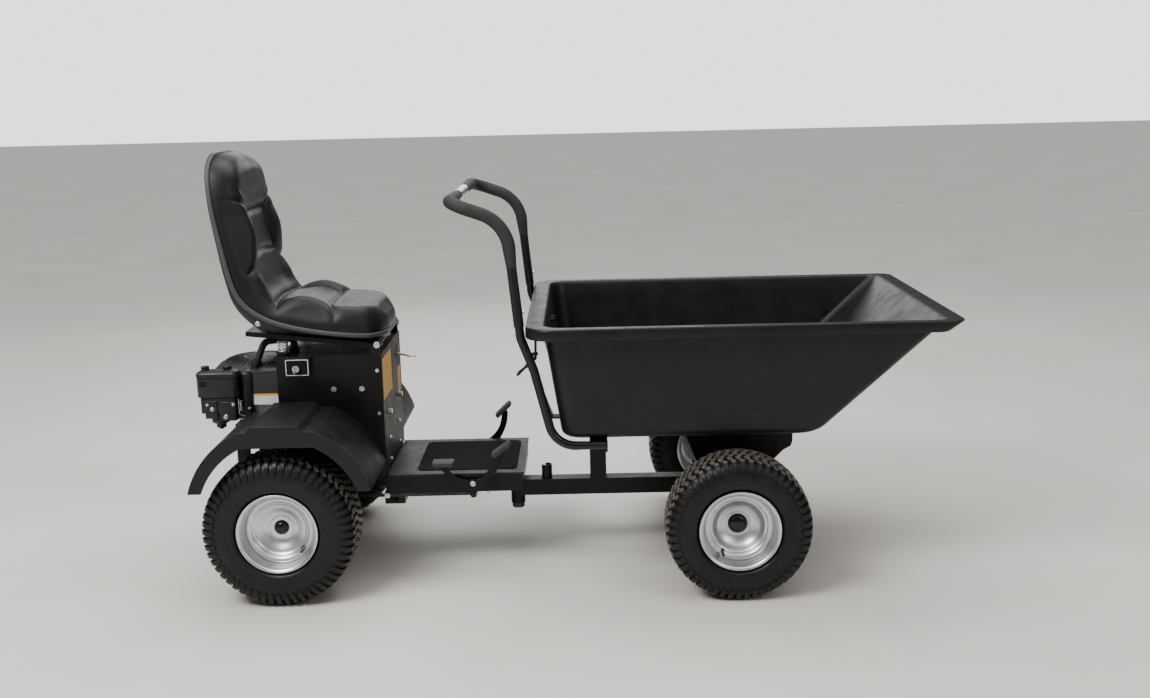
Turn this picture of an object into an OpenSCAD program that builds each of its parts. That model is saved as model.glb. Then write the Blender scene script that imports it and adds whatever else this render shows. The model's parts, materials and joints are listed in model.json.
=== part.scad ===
// Ride-on power barrow: a rear drive unit with engine and seat, hinged at a kingpin
// to a wheeled front frame that carries the handlebar and a forward-tipping tub.
// Millimetres. +X is forward, +Y is the rider's left, +Z is up, ground at Z = 0.

/* [Chassis] */
// Distance between the front and rear axles
wheelbase = 1277.5; // [1240:0.5:1310]
// Front axle position ahead of the middle of the machine
front_axle_x = 469; // [460:1:480]
// Width of the seat box and the footplate frame
box_w = 386; // [370:2:400]
// Length of the seat box
box_len = 307; // [295:1:315]
// Height of the top deck of the seat box
box_top = 662; // [650:1:670]
// Height of the footplate surface
deck_z = 300; // [296:1:306]
// Length of the footplate
deck_len = 402; // [390:1:410]
// Depth of the footplate side channels
channel_h = 54; // [48:1:60]

/* [Wheels] */
// Radius of a front tyre
front_tyre_r = 204; // [200:1:208]
// Width of a front tyre
front_tyre_w = 165; // [155:1:170]
// Radius of a rear tyre
rear_tyre_r = 216.4; // [212:0.2:220]
// Width of a rear tyre
rear_tyre_w = 186; // [180:1:190]
// Radius of the rim flanges
rim_r = 114; // [110:1:118]
// Distance of the front rim's outer flange from the middle plane
front_rim_y = 488; // [480:1:495]
// Distance of the rear rim's outer flange from the middle plane
rear_rim_y = 468; // [462:1:472]

/* [Handlebar] */
// Distance of the handlebar side tubes from the middle plane
handle_y = 400; // [395:1:402]
// Radius of the lower handlebar tubes
lower_tube_r = 12.5; // [12:0.5:13]
// Radius of the upper handlebar tube
upper_tube_r = 14; // [13.8:0.1:15]
// Radius of the foam grips
grip_r = 18; // [16:0.5:20]
// Half length of the bare middle of the handlebar
bare_half = 112; // [90:1:140]

/* [Tub] */
// Half width of the tub rim
rim_half = 475; // [465:1:480]
// Height of the top of the rim
rim_z = 774; // [765:1:785]
// Height of the outside of the tub floor
floor_z = 450; // [446:1:456]
// Thickness of the tub wall
tub_wall = 6; // [4:0.5:8]

/* [Seat] */
// Width of the seat cushion
seat_w = 440; // [420:5:460]
// Forward tilt of the seat plate in degrees
seat_tilt = 6.3; // [5:0.1:8]

/* [Steering] */
// Height of the middle of the main beam
beam_z = 200; // [195:1:205]
// Side of the square main beam
beam_side = 50; // [45:1:55]
// Distance of the kingpin behind the front axle
kingpin_back = 633; // [625:1:640]

/* [Hidden] */
$fn = 48;
gap = 0.3;
run_fit = 0.05;

rear_axle_x = front_axle_x - wheelbase;
kingpin_x = front_axle_x - kingpin_back;
half_w = box_w / 2;
box_front = kingpin_x - 373;
box_rear = box_front - box_len;
box_floor = 302;
deck_front = box_front + deck_len;
channel_z = deck_z - 3 - channel_h;
beam_top = beam_z + beam_side / 2;
sheet = 3;

post_x = front_axle_x - 383;
cross_z = 435;
axle_beam_half = 300;
latch_x = -112;
latch_z = 586;
striker_x = -98.5;
striker_z = 606;
tip_x = front_axle_x + 165;
tip_z = 412;
plate_y = 150;

crank_x = -935;
crank_r = 12.5;
engine_base = 452;
input_x = rear_axle_x + 45;
pulley_z = 372;
engine_pulley_r = 34;
input_pulley_r = 58;
belt_w = 10;

hinge_x = box_front - 11;
hinge_z = 692;
spring_x = box_rear + 16;
spring_y = 162;
spring_top = 702;
hose_end = [-812, -88];
pedal_x = box_front + 252;
pedal_z = 272;
pedal_arm_y = half_w + 14;
rod_drop = 36;
rod_side_y = -half_w + 3;
control_x = rear_axle_x + 78;

front_rim_w = 146;
rear_rim_w = 174;
front_dish = 76;
rear_dish = 66;
stub_end = front_rim_y - front_dish - 6;

fender_x = -790;
fender_z = 272;
fender_r = 261;
fender_inner_r = 228;
fender_y = 482;
fender_top = 527;
fender_rise = 15;

// ---------- shared shapes ----------

// Cylinder along Y that starts at y0 and is len long
module rod_y(r, y0, len) {
    translate([0, y0, 0]) rotate([-90, 0, 0]) cylinder(r = r, h = len);
}

// Tube along Y
module tube_y(r, hole_r, y0, len) {
    translate([0, y0, 0])
        rotate([-90, 0, 0])
            linear_extrude(len)
                difference() {
                    circle(r);
                    circle(hole_r);
                }
}

// Outline drawn in X and Z, extruded along Y from y0
module slab_y(y0, len) {
    translate([0, y0 + len, 0]) rotate([90, 0, 0]) linear_extrude(len) children();
}

// Rectangle with round corners, centred
module round_rect(x, y, r) {
    hull()
        for (sx = [-1, 1])
            for (sy = [-1, 1])
                translate([sx * (x / 2 - r), sy * (y / 2 - r)]) circle(r);
}

// Copies a shape to the other side of the middle plane as well
module both_sides() {
    children();
    mirror([0, 1, 0]) children();
}

// Hexagon-headed bolt standing along +Z, with a washer
module bolt_head(r, h) {
    cylinder(r = r * 1.35, h = h * 0.3);
    translate([0, 0, h * 0.3]) cylinder(r = r, h = h * 0.7, $fn = 6);
}

function unit(v) = v / norm(v);
function turn_angle(a, b) = acos(max(-1, min(1, unit(a) * unit(b))));

// Round tube along a list of points, each inner corner bent on its own radius.
// A straight run is a hair thinner than the bends and laps into them.
lap = 1;
lap_step = 0.3;
module bent_tube(points, bends, r, hole_r) {
    last = len(points) - 1;
    dirs = [for (i = [0:last - 1]) unit(points[i + 1] - points[i])];
    angles = [for (i = [0:last]) (i == 0 || i == last) ? 0 : turn_angle(dirs[i - 1], dirs[i])];
    cuts = [for (i = [0:last]) (i == 0 || i == last) ? 0 : bends[i - 1] * tan(angles[i] / 2)];
    for (i = [0:last - 1]) {
        run = norm(points[i + 1] - points[i]) - cuts[i] - cuts[i + 1];
        z = dirs[i];
        side = abs(z[1]) > 0.9 ? [1, 0, 0] : [0, 1, 0];
        x = unit(cross(side, z));
        y = cross(z, x);
        lap_in = i == 0 ? 0 : lap;
        lap_out = i == last - 1 ? 0 : lap;
        o = points[i] + z * (cuts[i] - lap_in);
        multmatrix([
            [x[0], y[0], z[0], o[0]],
            [x[1], y[1], z[1], o[1]],
            [x[2], y[2], z[2], o[2]],
            [0, 0, 0, 1]
        ])
            linear_extrude(run + lap_in + lap_out)
                tube_section(r - lap_step, hole_r > 0 ? hole_r + lap_step : 0);
    }
    for (i = [1:1:last - 1]) {
        normal = unit(cross(dirs[i - 1], dirs[i]));
        start = points[i] - dirs[i - 1] * cuts[i];
        inward = cross(normal, dirs[i - 1]);
        o = start + inward * bends[i - 1];
        x = -inward;
        y = dirs[i - 1];
        multmatrix([
            [x[0], y[0], normal[0], o[0]],
            [x[1], y[1], normal[1], o[1]],
            [x[2], y[2], normal[2], o[2]],
            [0, 0, 0, 1]
        ])
            rotate_extrude(angle = angles[i])
                translate([bends[i - 1], 0])
                    tube_section(r, hole_r);
    }
}

module tube_section(r, hole_r) {
    difference() {
        circle(r);
        if (hole_r > 0) circle(hole_r);
    }
}

// ---------- rear drive unit ----------

// Box-section rails, cross members, kingpin head and the lug under the box
module chassis_frame() {
    rail_y = half_w - 4;
    color([0.05, 0.05, 0.055]) {
        both_sides() {
            // footplate side channel, open towards the middle
            translate([box_front, -half_w, channel_z]) cube([deck_len - 3.5, 4, channel_h]);
            translate([box_front, -half_w, channel_z]) cube([deck_len - 3.5, 32, 4]);
            // rail from the box to the engine
            translate([box_rear - 150, -rail_y + 30, box_floor - 46])
                difference() {
                    cube([box_len + 150, 30, 42]);
                    // cross hole for the control shaft
                    translate([control_x - box_rear + 150, -1, pedal_z - box_floor + 46])
                        rotate([-90, 0, 0])
                            cylinder(r = 9, h = 32);
                }
            // axle hanger
            translate([rear_axle_x - 45, -rail_y + 30, 160])
                difference() {
                    cube([90, 10, 100]);
                    translate([45, -1, rear_tyre_r - 160])
                        rotate([-90, 0, 0])
                            cylinder(r = 32, h = 12);
                }
        }
        // cross members
        translate([deck_front - 42, -half_w + 4, channel_z]) cube([38, box_w - 8, channel_h - 4]);
        translate([box_front - 8, -half_w + 4, channel_z]) cube([40, box_w - 8, channel_h - 4]);
        translate([box_rear - 150, -half_w + 64, box_floor - 46]) cube([40, box_w - 128, 42]);
        translate([box_front - 40, -70, channel_z + 2])
            cube([deck_len - 20, 140, 20]);
        // lug below the front of the box
        translate([box_front - 13, -182, 207])
            difference() {
                cube([60, 60, channel_z - 206]);
                translate([30, -1, 16]) rotate([-90, 0, 0]) cylinder(r = 8, h = 62);
            }
        // engine plate on its two stands
        translate([box_rear - 150, -130, 440])
            difference() {
                cube([210, 260, 6]);
                translate([crank_x - box_rear + 150, 130, -1]) cylinder(r = 40, h = 8);
            }
        both_sides() translate([box_rear - 150, -130, box_floor - 5]) cube([40, 6, 143]);
        both_sides() translate([box_rear + 20, -130, box_floor - 5]) cube([40, 6, 143]);
    }
}

// Pin that hangs from the front of the footplate frame and carries the main beam
module kingpin() {
    color([0.45, 0.45, 0.47])
        translate([kingpin_x, 0, 0]) {
            translate([0, 0, 146]) cylinder(r = 12.5, h = channel_z - 146);
            translate([0, 0, 132]) cylinder(r = 19, h = 14 - gap, $fn = 6);
        }
}

// Folded steel footplate with turned-down edges
module footplate() {
    color([0.13, 0.13, 0.135])
        difference() {
            translate([box_front, -half_w - 3, deck_z - 6]) cube([deck_len, box_w + 6, 6]);
            translate([box_front - 1, -half_w, deck_z - 7]) cube([deck_len - 2, box_w, 4]);
        }
}

// Grit mat let into the footplate
module foot_mat() {
    color([0.07, 0.07, 0.075])
        translate([(box_front + deck_front) / 2 + 30, 0, deck_z])
            linear_extrude(2)
                round_rect(298, 318, 22);
}

// Seat box: side plates, rear flange and top deck of bent steel
module seat_box() {
    color([0.04, 0.04, 0.045])
        difference() {
            union() {
                both_sides()
                    slab_y(-half_w, sheet)
                        polygon([
                            [box_rear, box_floor - 4],
                            [box_front - 5, box_floor - 4],
                            [box_front - 5, box_top + 3],
                            [box_front - 5, hinge_z + 9],
                            [box_front - 22, hinge_z + 9],
                            [box_front - 34, box_top],
                            [box_rear, box_top]
                        ]);
                translate([box_rear, -half_w, box_top - sheet]) cube([box_len - 5, box_w, sheet]);
                translate([box_rear, -half_w, 520]) cube([sheet, box_w, box_top - 520]);
                translate([box_rear, -half_w, box_floor - 4]) cube([box_len - 5, box_w, sheet]);
                // feet of the seat springs and the socket of the intake hose
                both_sides() translate([spring_x, -spring_y, box_top - 1]) cylinder(r = 20, h = 9);
                translate([hose_end[0], hose_end[1], box_top - 1]) cylinder(r = 15, h = 10);
            }
            // window for the engine's shroud
            translate([box_rear - 1, -172, 500]) cube([60, 344, 149]);
            // windows for the belt and the hanger rails
            translate([box_rear - 1, -140, box_floor - 5]) cube([box_len - 40, 280, 5]);
            // hole of the ignition switch
            translate([-780, -half_w - 1, 632]) rotate([-90, 0, 0]) cylinder(r = 9, h = 8);
            both_sides() translate([hinge_x, -half_w - 1, hinge_z]) rod_y(5.25, 0, 5);
        }
}

// Front cover of the seat box with the throttle slot
module front_panel() {
    color([0.05, 0.05, 0.055])
        difference() {
            translate([box_front - 5, -half_w, deck_z + 1]) cube([4, box_w, box_top - deck_z]);
            translate([box_front - 6, 116, 584]) cube([6, 9, 52]);
        }
}

// Bolt heads and thumb screws that show on the seat box and the frame
module body_bolts() {
    color([0.72, 0.72, 0.74]) {
        for (x = [box_front - 62, box_front - 144])
            translate([x, -half_w, 562]) rotate([90, 0, 0]) bolt_head(6, 6);
        for (z = [487, 615])
            translate([box_front - 15, -half_w, z]) rotate([90, 0, 0]) bolt_head(4, 4);
        translate([box_front - 4, -half_w, 236]) rotate([90, 0, 0]) bolt_head(6, 6);
        for (y = [-100, 100])
            translate([box_front - 1, y, 391]) rotate([0, 90, 0]) bolt_head(5, 5);
        for (y = [-100, 100])
            translate([box_front - 1, y, 323]) rotate([0, 90, 0]) bolt_head(5, 5);
        both_sides()
            translate([hinge_x, -half_w - 6.3, hinge_z]) {
                rod_y(5.2, 0, 16);
                rotate([90, 0, 0]) bolt_head(7, 6);
            }
    }
    color([0.03, 0.03, 0.03])
        for (y = [-112, 112])
            translate([box_front - 1, y, 474]) rotate([0, 90, 0]) cylinder(r = 8, h = 12);
}

// Outline of the fender's outer edge, drawn in X and Z
module fender_outline(grow) {
    intersection() {
        union() {
            intersection() {
                translate([fender_x, fender_z]) circle(fender_r + grow, $fn = 96);
                translate([-1100, 300]) square([700, fender_top - fender_rise - 300 + grow]);
            }
            // raised flat on top with sloping ends
            polygon([
                [-872 - grow / 2, fender_top - fender_rise + grow], [-856 - grow / 2, fender_top + grow],
                [-730 + grow / 2, fender_top + grow], [-714 + grow / 2, fender_top - fender_rise + grow],
                [-714, 400], [-872, 400]
            ]);
        }
        translate([-1100, 341]) square([700, 300]);
    }
}

// Fender: a folded cover over the wheel with a turned-down outer lip
module fender() {
    color([0.08, 0.08, 0.085]) {
        difference() {
            slab_y(-fender_y, fender_y - half_w - 1) fender_outline(0);
            slab_y(-fender_y - 1, fender_y - half_w + 1) fender_outline(-sheet);
        }
        slab_y(-fender_y - sheet, sheet)
            difference() {
                fender_outline(0);
                intersection() {
                    translate([fender_x, fender_z - 10]) circle(fender_inner_r, $fn = 96);
                    translate([-1100, 300]) square([700, fender_top - 360]);
                }
            }
    }
}

module fender_right() {
    fender();
}

module fender_left() {
    mirror([0, 1, 0]) fender();
}

// ---------- engine ----------

// Crankcase and finned cylinder
module engine_block() {
    color([0.32, 0.32, 0.33])
        difference() {
            union() {
                translate([crank_x, 0, engine_base - 6]) cylinder(r = 92, h = 60);
                translate([crank_x, -130, engine_base + 4]) cube([104, 110, 54]);
                for (i = [0:4])
                    translate([crank_x + 10, -134 + i * 16, engine_base + 2]) cube([92, 6, 86]);
            }
            translate([crank_x, 0, engine_base - 8]) cylinder(r = crank_r + run_fit, h = 64);
            translate([crank_x, 0, engine_base + 34]) cylinder(r = 80, h = 60);
        }
}

// Domed fan shroud with a box over the cylinder
module blower_housing() {
    dome = [[0, 140], [14, 138], [30, 122], [42, 96], [48, 60], [50, 0]];
    color([0.06, 0.06, 0.065])
        translate([crank_x, 0, 0])
            difference() {
                union() {
                    translate([0, 0, 560])
                        rotate_extrude($fn = 96)
                            polygon(concat(
                                [[0, -40], [140, -40]],
                                [for (p = dome) [p[1], p[0] + 22]]
                            ));
                    translate([4, -158, 512]) cube([124, 130, 102]);
                }
                translate([0, 0, 505])
                    rotate_extrude($fn = 96)
                        polygon([[0, 0], [134, 0], [134, 74], [114, 92], [0, 102]]);
                translate([9, -153, 500]) cube([114, 130, 108]);
            }
}

// Air filter cover with its two clamp knobs
module air_filter_cover() {
    cover_x = -1020;
    cover_y = -173;
    color([0.06, 0.06, 0.065])
        translate([cover_x, cover_y, 545])
            difference() {
                hull() {
                    linear_extrude(66) round_rect(122, 60, 14);
                    translate([0, 0, 72]) linear_extrude(6) round_rect(112, 50, 12);
                }
                translate([0, 0, -1]) linear_extrude(64) round_rect(114, 52, 10);
            }
    color([0.03, 0.03, 0.03])
        for (x = [-41, 24])
            translate([cover_x + x, cover_y + 12, 622]) cylinder(r = 12, h = 10, $fn = 24);
}

// Carburettor and intake below the filter cover
module carburettor() {
    color([0.09, 0.09, 0.095]) {
        translate([-1072, -196, 498]) cube([100, 50, 46.5]);
        translate([-1040, -170, 470]) cylinder(r = 26, h = 29);
        translate([-1040, -170, 446]) cylinder(r = 15, h = 26);
        translate([-972.5, -152, 470]) cube([37, 40, 46]);
        translate([-1010, -152, 499]) cube([38, 8, 17]);
    }
    color([0.7, 0.7, 0.7])
        for (x = [-1052, -1008])
            translate([x, -196, 512]) rotate([90, 0, 0]) bolt_head(5, 5);
}

// Silencer on the left-hand side of the engine
module muffler() {
    can_y = 174;
    can_z = 566;
    port_z = 505;
    color([0.25, 0.24, 0.23])
        difference() {
            union() {
                translate([-1000, can_y, can_z]) rotate([0, 90, 0]) cylinder(r = 30, h = 130);
                translate([crank_x, 0, port_z]) rod_y(11, 92.5, can_y - 92.5);
                translate([crank_x, can_y, port_z - 11]) cylinder(r = 11, h = 50);
                translate([-1000, can_y, can_z]) rotate([0, -90, 0]) cylinder(r = 10, h = 22);
            }
            translate([-1023, can_y, can_z]) rotate([0, 90, 0]) cylinder(r = 8, h = 30);
        }
}

// Corrugated intake hose from the engine into the seat box
module breather_hose() {
    route = [
        [-921, -104, 634], [-897, -98, 690],
        [hose_end[0], hose_end[1], 697], [hose_end[0], hose_end[1], box_top + 9 + gap]
    ];
    color([0.05, 0.05, 0.05]) bent_tube(route, [22, 14], 11, 8);
}

// Gearbox casing with the axle tubes and the input shaft boss
module transaxle() {
    color([0.36, 0.36, 0.37])
        difference() {
            union() {
                translate([rear_axle_x - 70, -80, 170]) cube([170, 160, 100]);
                translate([input_x, 0, 260]) cylinder(r = 45, h = 60);
                translate([rear_axle_x, 0, rear_tyre_r]) rod_y(32, -150, 300);
            }
            translate([rear_axle_x, 0, rear_tyre_r]) rod_y(12.5 + run_fit, -152, 304);
            translate([input_x, 0, 240]) cylinder(r = 9 + run_fit, h = 90);
        }
}

// Moulded fuel tank inside the seat box
module fuel_tank() {
    color([0.75, 0.74, 0.68])
        translate([box_front - 95, 0, 470])
            difference() {
                linear_extrude(130) round_rect(150, 300, 30);
                translate([0, 0, 4]) linear_extrude(122) round_rect(142, 292, 26);
            }
    color([0.05, 0.05, 0.05]) translate([box_front - 95, 60, 600]) cylinder(r = 28, h = 18);
}

// Round wire wound into an open coil, standing on z = 0
module coil_spring(r, wire_r, turns, height) {
    sides = 8;
    steps = round(turns * 16);
    rise = (height - 2 * wire_r) / steps;
    points = [
        for (i = [0:steps])
            for (j = [0:sides - 1])
                let (a = 360 * i / 16, b = 360 * j / sides, d = r + wire_r * cos(b))
                    [d * cos(a), d * sin(a), wire_r + i * rise + wire_r * sin(b)]
    ];
    faces = [
        for (i = [0:steps - 1])
            for (j = [0:sides - 1])
                [
                    i * sides + j, i * sides + (j + 1) % sides,
                    (i + 1) * sides + (j + 1) % sides, (i + 1) * sides + j
                ]
    ];
    ends = [
        [for (j = [sides - 1:-1:0]) j],
        [for (j = [0:sides - 1]) steps * sides + j]
    ];
    polyhedron(points, concat(faces, ends), convexity = 10);
}

// Coil springs that carry the back of the seat plate
module seat_springs() {
    color([0.72, 0.72, 0.72])
        both_sides()
            translate([spring_x, -spring_y, box_top + 8 + gap])
                coil_spring(14, 2.5, 4, spring_top - box_top - 8 - gap);
}

// Sloping switch console on the side of the seat box
module control_console() {
    color([0.05, 0.05, 0.055])
        difference() {
            slab_y(-half_w - 34, 34)
                polygon([[-818, 604], [-744, 604], [-741, 662], [-815, 662]]);
            translate([-850, -half_w - 24, 662])
                rotate([16, 0, 0])
                    translate([0, -60, -90])
                        cube([140, 60, 120]);
            translate([-780, -half_w - 45, 632]) rod_y(7.5, 0, 60);
        }
}

// Vertical crankshaft with the fan flywheel on top
module crankshaft() {
    color([0.5, 0.5, 0.52])
        translate([crank_x, 0, 0]) {
            translate([0, 0, pulley_z - 22]) cylinder(r = crank_r, h = 200);
            translate([0, 0, 545]) cylinder(r = 74, h = 14);
            for (a = [0:30:330])
                rotate([0, 0, a]) translate([44, -2, 559 - 1]) cube([28, 4, 22]);
        }
}

// V-groove pulley
module pulley(r, bore) {
    rotate_extrude()
        polygon([
            [bore, -11], [r + 6, -11], [r + 6, -8], [r - 4, -2],
            [r - 4, 2], [r + 6, 8], [r + 6, 11], [bore, 11]
        ]);
}

module engine_pulley() {
    color([0.55, 0.55, 0.56])
        translate([crank_x, 0, pulley_z]) pulley(engine_pulley_r, crank_r);
}

// Input pulley with its short shaft into the gearbox
module input_pulley() {
    color([0.55, 0.55, 0.56])
        translate([input_x, 0, pulley_z]) {
            pulley(input_pulley_r, 8.9);
            translate([0, 0, -110]) cylinder(r = 9, h = 121);
        }
}

// V-belt around both pulleys, kept clear of the grooves
module drive_belt() {
    grow = 1.5;
    thick = 8;
    color([0.04, 0.04, 0.04])
        translate([0, 0, pulley_z - belt_w / 2 + 3])
            linear_extrude(belt_w - 6)
                difference() {
                    belt_outline(grow + thick);
                    belt_outline(grow);
                }
}

module belt_outline(grow) {
    hull() {
        translate([crank_x, 0]) circle(engine_pulley_r - 2 + grow, $fn = 64);
        translate([input_x, 0]) circle(input_pulley_r - 2 + grow, $fn = 64);
    }
}

// ---------- front frame ----------

// Square beam with the kingpin bush at the back, the post and the handlebar cross member
module main_beam() {
    color([0.05, 0.05, 0.055]) {
        difference() {
            union() {
                translate([kingpin_x, 0, 148]) cylinder(r = 22, h = channel_z - gap - 148);
                translate([kingpin_x, -beam_side / 2, beam_z - beam_side / 2])
                    cube([kingpin_back - 26, beam_side, beam_side]);
            }
            translate([kingpin_x, 0, 140]) cylinder(r = 12.5 + run_fit, h = 140);
            // hollow of the square tube
            translate([kingpin_x + 40, -beam_side / 2 + 3, beam_z - beam_side / 2 + 3])
                cube([kingpin_back - 80, beam_side - 6, beam_side - 6]);
        }
        translate([post_x - 25, -25, beam_top]) cube([50, 50, cross_z - 25 - beam_top]);
        translate([post_x - 25, -handle_y + lower_tube_r + 0.2, cross_z - 25])
            cube([50, 2 * (handle_y - lower_tube_r - 0.2), 25]);
        // lock clip on the beam
        translate([kingpin_x + 91, 0, beam_top])
            linear_extrude(42)
                difference() {
                    circle(16);
                    circle(12.5);
                    translate([-20, 0]) rotate(20) square([20, 30]);
                }
        // upright that carries the tub latch
        latch_post();
    }
}

// Bent flat bar from the cross member up the back of the tub
module latch_post() {
    slab_y(-20, 40)
        polygon([
            [post_x - 25, cross_z - 20], [-52, cross_z - 20], [-108, 560], [-108, 576],
            [-102, 576], [-102, 561], [-48, cross_z - 14], [post_x - 25, cross_z - 14]
        ]);
    for (y = [-14, 8])
        slab_y(y, 6)
            polygon([[-108, 556], [-120, 566], [-120, 596], [-108, 600], [-104, 590], [-104, 560]]);
    translate([latch_x, 0, latch_z]) rod_y(4, -14, 28);
}

// Square cross tube with the two stub axles
module front_axle() {
    color([0.05, 0.05, 0.055]) {
        translate([front_axle_x - 25, -axle_beam_half, front_tyre_r - 25])
            difference() {
                cube([50, 2 * axle_beam_half, 50]);
                translate([3, 30, 3]) cube([44, 2 * axle_beam_half - 60, 44]);
            }
    }
    color([0.6, 0.6, 0.62])
        both_sides()
            translate([front_axle_x, 0, front_tyre_r])
                rod_y(12.5, -stub_end, stub_end - axle_beam_half);
}

// Pair of gusset plates from the front axle up to the tub hinge
module hinge_plates() {
    color([0.04, 0.04, 0.045])
        both_sides()
            difference() {
                slab_y(-plate_y - 6, 6)
                    polygon([
                        [front_axle_x - 60, front_tyre_r + 26], [front_axle_x + 60, front_tyre_r + 26],
                        [front_axle_x + 126, 300], [front_axle_x + 142, 316],
                        [front_axle_x + 166, 340], [front_axle_x + 188, 352],
                        [front_axle_x + 193, 366], [front_axle_x + 193, 428],
                        [front_axle_x - 138, 428]
                    ]);
                translate([tip_x, 0, tip_z]) rod_y(8 + run_fit, -plate_y - 8, 10);
            }
}

// Pin on which the tub tips
module tub_hinge_pin() {
    color([0.6, 0.6, 0.62])
        translate([tip_x, 0, tip_z]) {
            rod_y(8, -plate_y - 10, 2 * plate_y + 20);
            rod_y(13, -plate_y - 14, 6);
            rod_y(13, plate_y + 8, 6);
        }
}

// Half of the handlebar route, from the top bar down one side
function side_route(s) = [
    [-152, s * handle_y, 1057],
    [-125, s * handle_y, 772]
];

module lower_handle_tubes() {
    route = [
        [-133, -handle_y, 856], [-122, -handle_y, 741], [-88, -handle_y, 650],
        [-35, -handle_y, 434], [post_x + 25, -handle_y, 434]
    ];
    color([0.035, 0.035, 0.04])
        both_sides() bent_tube(route, [60, 90, 75], lower_tube_r, lower_tube_r - 2);
}

// One bent tube that telescopes over both lower tubes
module upper_handle_tube() {
    bar_x = -306;
    bar_z = 1112;
    route = concat(
        [side_route(-1)[1], side_route(-1)[0]],
        [[bar_x, -handle_y, bar_z], [bar_x, handle_y, bar_z]],
        [side_route(1)[0], side_route(1)[1]]
    );
    color([0.6, 0.6, 0.62])
        bent_tube(route, [110, 58, 58, 110], upper_tube_r, lower_tube_r + 0.1);
}

// Foam grips around both upper corners
module handle_grips() {
    route = [
        [-306, -bare_half, 1112], [-306, -handle_y, 1112], side_route(-1)[0],
        side_route(-1)[0] + unit(side_route(-1)[1] - side_route(-1)[0]) * 122
    ];
    color([0.04, 0.04, 0.045])
        both_sides() bent_tube(route, [58, 110], grip_r, upper_tube_r + 0.1);
}

// Screws that lock the telescoping handlebar
module handle_bolts() {
    color([0.6, 0.6, 0.62])
        both_sides() {
            translate([-128 + upper_tube_r, -handle_y, 812]) rotate([0, 90, 0]) bolt_head(4, 5);
            translate([-124.6 - lower_tube_r, -handle_y, 752]) rotate([0, -90, 0]) bolt_head(4, 5);
        }
}

// ---------- tub ----------

// Rounded block between the floor and the rim, drawn inward by a margin
module tub_block(inset, low_z, high_z) {
    r = 40 - inset / 2;
    floor_half = 398 - inset;
    top_half = 440 - inset;
    // a ball of 28 sides is this share of its radius tall
    pole = cos(90 / 14);
    hull() {
        for (s = [-1, 1]) {
            for (x = [-14 + inset + r, front_axle_x + 226 - inset - r])
                translate([x, s * (floor_half - r), low_z + r * pole]) sphere(r, $fn = 28);
            translate([-62 + inset + 60, s * (top_half - 60), high_z - 1]) cylinder(r = 60, h = 1, $fn = 28);
            translate([front_axle_x + 571 - inset - 30, s * (top_half - 42), high_z - 1])
                cylinder(r = 30, h = 1, $fn = 28);
        }
    }
}

// Slab of the rim between two heights, its front edge cut back towards the bottom
module rim_block(inset, low_z, high_z, back) {
    tip = front_axle_x + 612 - inset;
    hull()
        for (s = [-1, 1]) {
            translate([-109 + inset + 80, s * (rim_half - inset - 80), low_z])
                cylinder(r = 80, h = high_z - low_z, $fn = 32);
            translate([tip - 30, s * (rim_half - 15 - inset - 30), high_z - 4])
                cylinder(r = 30, h = 4, $fn = 32);
            translate([tip - 30 - back, s * (rim_half - 15 - inset - 30), low_z])
                cylinder(r = 30, h = 2, $fn = 32);
        }
}

// Moulded tub with a turned-down rim
module tub() {
    color([0.045, 0.047, 0.05])
        difference() {
            union() {
                difference() {
                    rim_block(0, rim_z - 32, rim_z, 42);
                    rim_block(tub_wall, rim_z - 60, rim_z - tub_wall, 42);
                }
                tub_block(0, floor_z, rim_z - 3);
            }
            tub_block(tub_wall, floor_z + tub_wall, rim_z + 4);
            // holes for the strap bolts
            for (y = [-22, 22])
                translate([-90, y, 724]) rotate([0, 90, 0]) cylinder(r = 4.2, h = 60);
        }
}

// Steel rails under the tub with the hinge ears
module tub_cradle() {
    rail_back = post_x - 20;
    color([0.05, 0.05, 0.055]) {
        both_sides()
            difference() {
                union() {
                    translate([rail_back, -plate_y + 2, cross_z + gap])
                        cube([tip_x + 40 - rail_back, 30, floor_z - cross_z - 2 * gap]);
                    slab_y(-plate_y + 2, 6)
                        polygon([
                            [tip_x - 30, cross_z + 1], [tip_x - 15, 398],
                            [tip_x + 15, 398], [tip_x + 30, cross_z + 1]
                        ]);
                }
                translate([tip_x, 0, tip_z]) rod_y(8 + run_fit, -plate_y, 12);
            }
        for (x = [post_x + 90, front_axle_x])
            translate([x, -plate_y + 32, cross_z + gap + 3])
                cube([40, 2 * plate_y - 64, floor_z - cross_z - 2 * gap - 3]);
    }
}

// Striker bracket bolted through the back wall of the tub
module latch_strap() {
    color([0.05, 0.05, 0.055]) {
        difference() {
            slab_y(-30, 60)
                polygon([
                    [-57.5, 738], [-54, 708], [-93, 674], [-95, 606],
                    [-101, 606], [-99, 676], [-60, 712], [-63, 738]
                ]);
            translate([-110, -9.5, 596]) cube([30, 19, 34]);
        }
        translate([striker_x, 0, striker_z]) rod_y(5, -30, 60);
    }
    color([0.75, 0.75, 0.77])
        for (y = [-22, 22])
            translate([-70, y, 724]) rotate([0, 90, 0]) cylinder(r = 4, h = 34);
}

// Sprung latch with a looped release handle
module latch_lever() {
    color([0.06, 0.06, 0.065]) {
        slab_y(-7.5, 15)
            difference() {
                union() {
                    translate([latch_x, latch_z]) circle(9);
                    polygon([
                        [-119, 590], [-114, 619], [-91, 620], [-90, 613],
                        [-104.3, 612], [-104.3, 586]
                    ]);
                    polygon([[-112, 594], [-132, 580], [-128, 572], [-106, 580]]);
                }
                translate([latch_x, latch_z]) circle(4 + run_fit);
            }
        bent_tube([[-127, -4, 577], [-154, -20, 553], [-154, 20, 553], [-127, 4, 577]], [6, 6], 3.5, 0);
    }
}

// ---------- seat ----------

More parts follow.
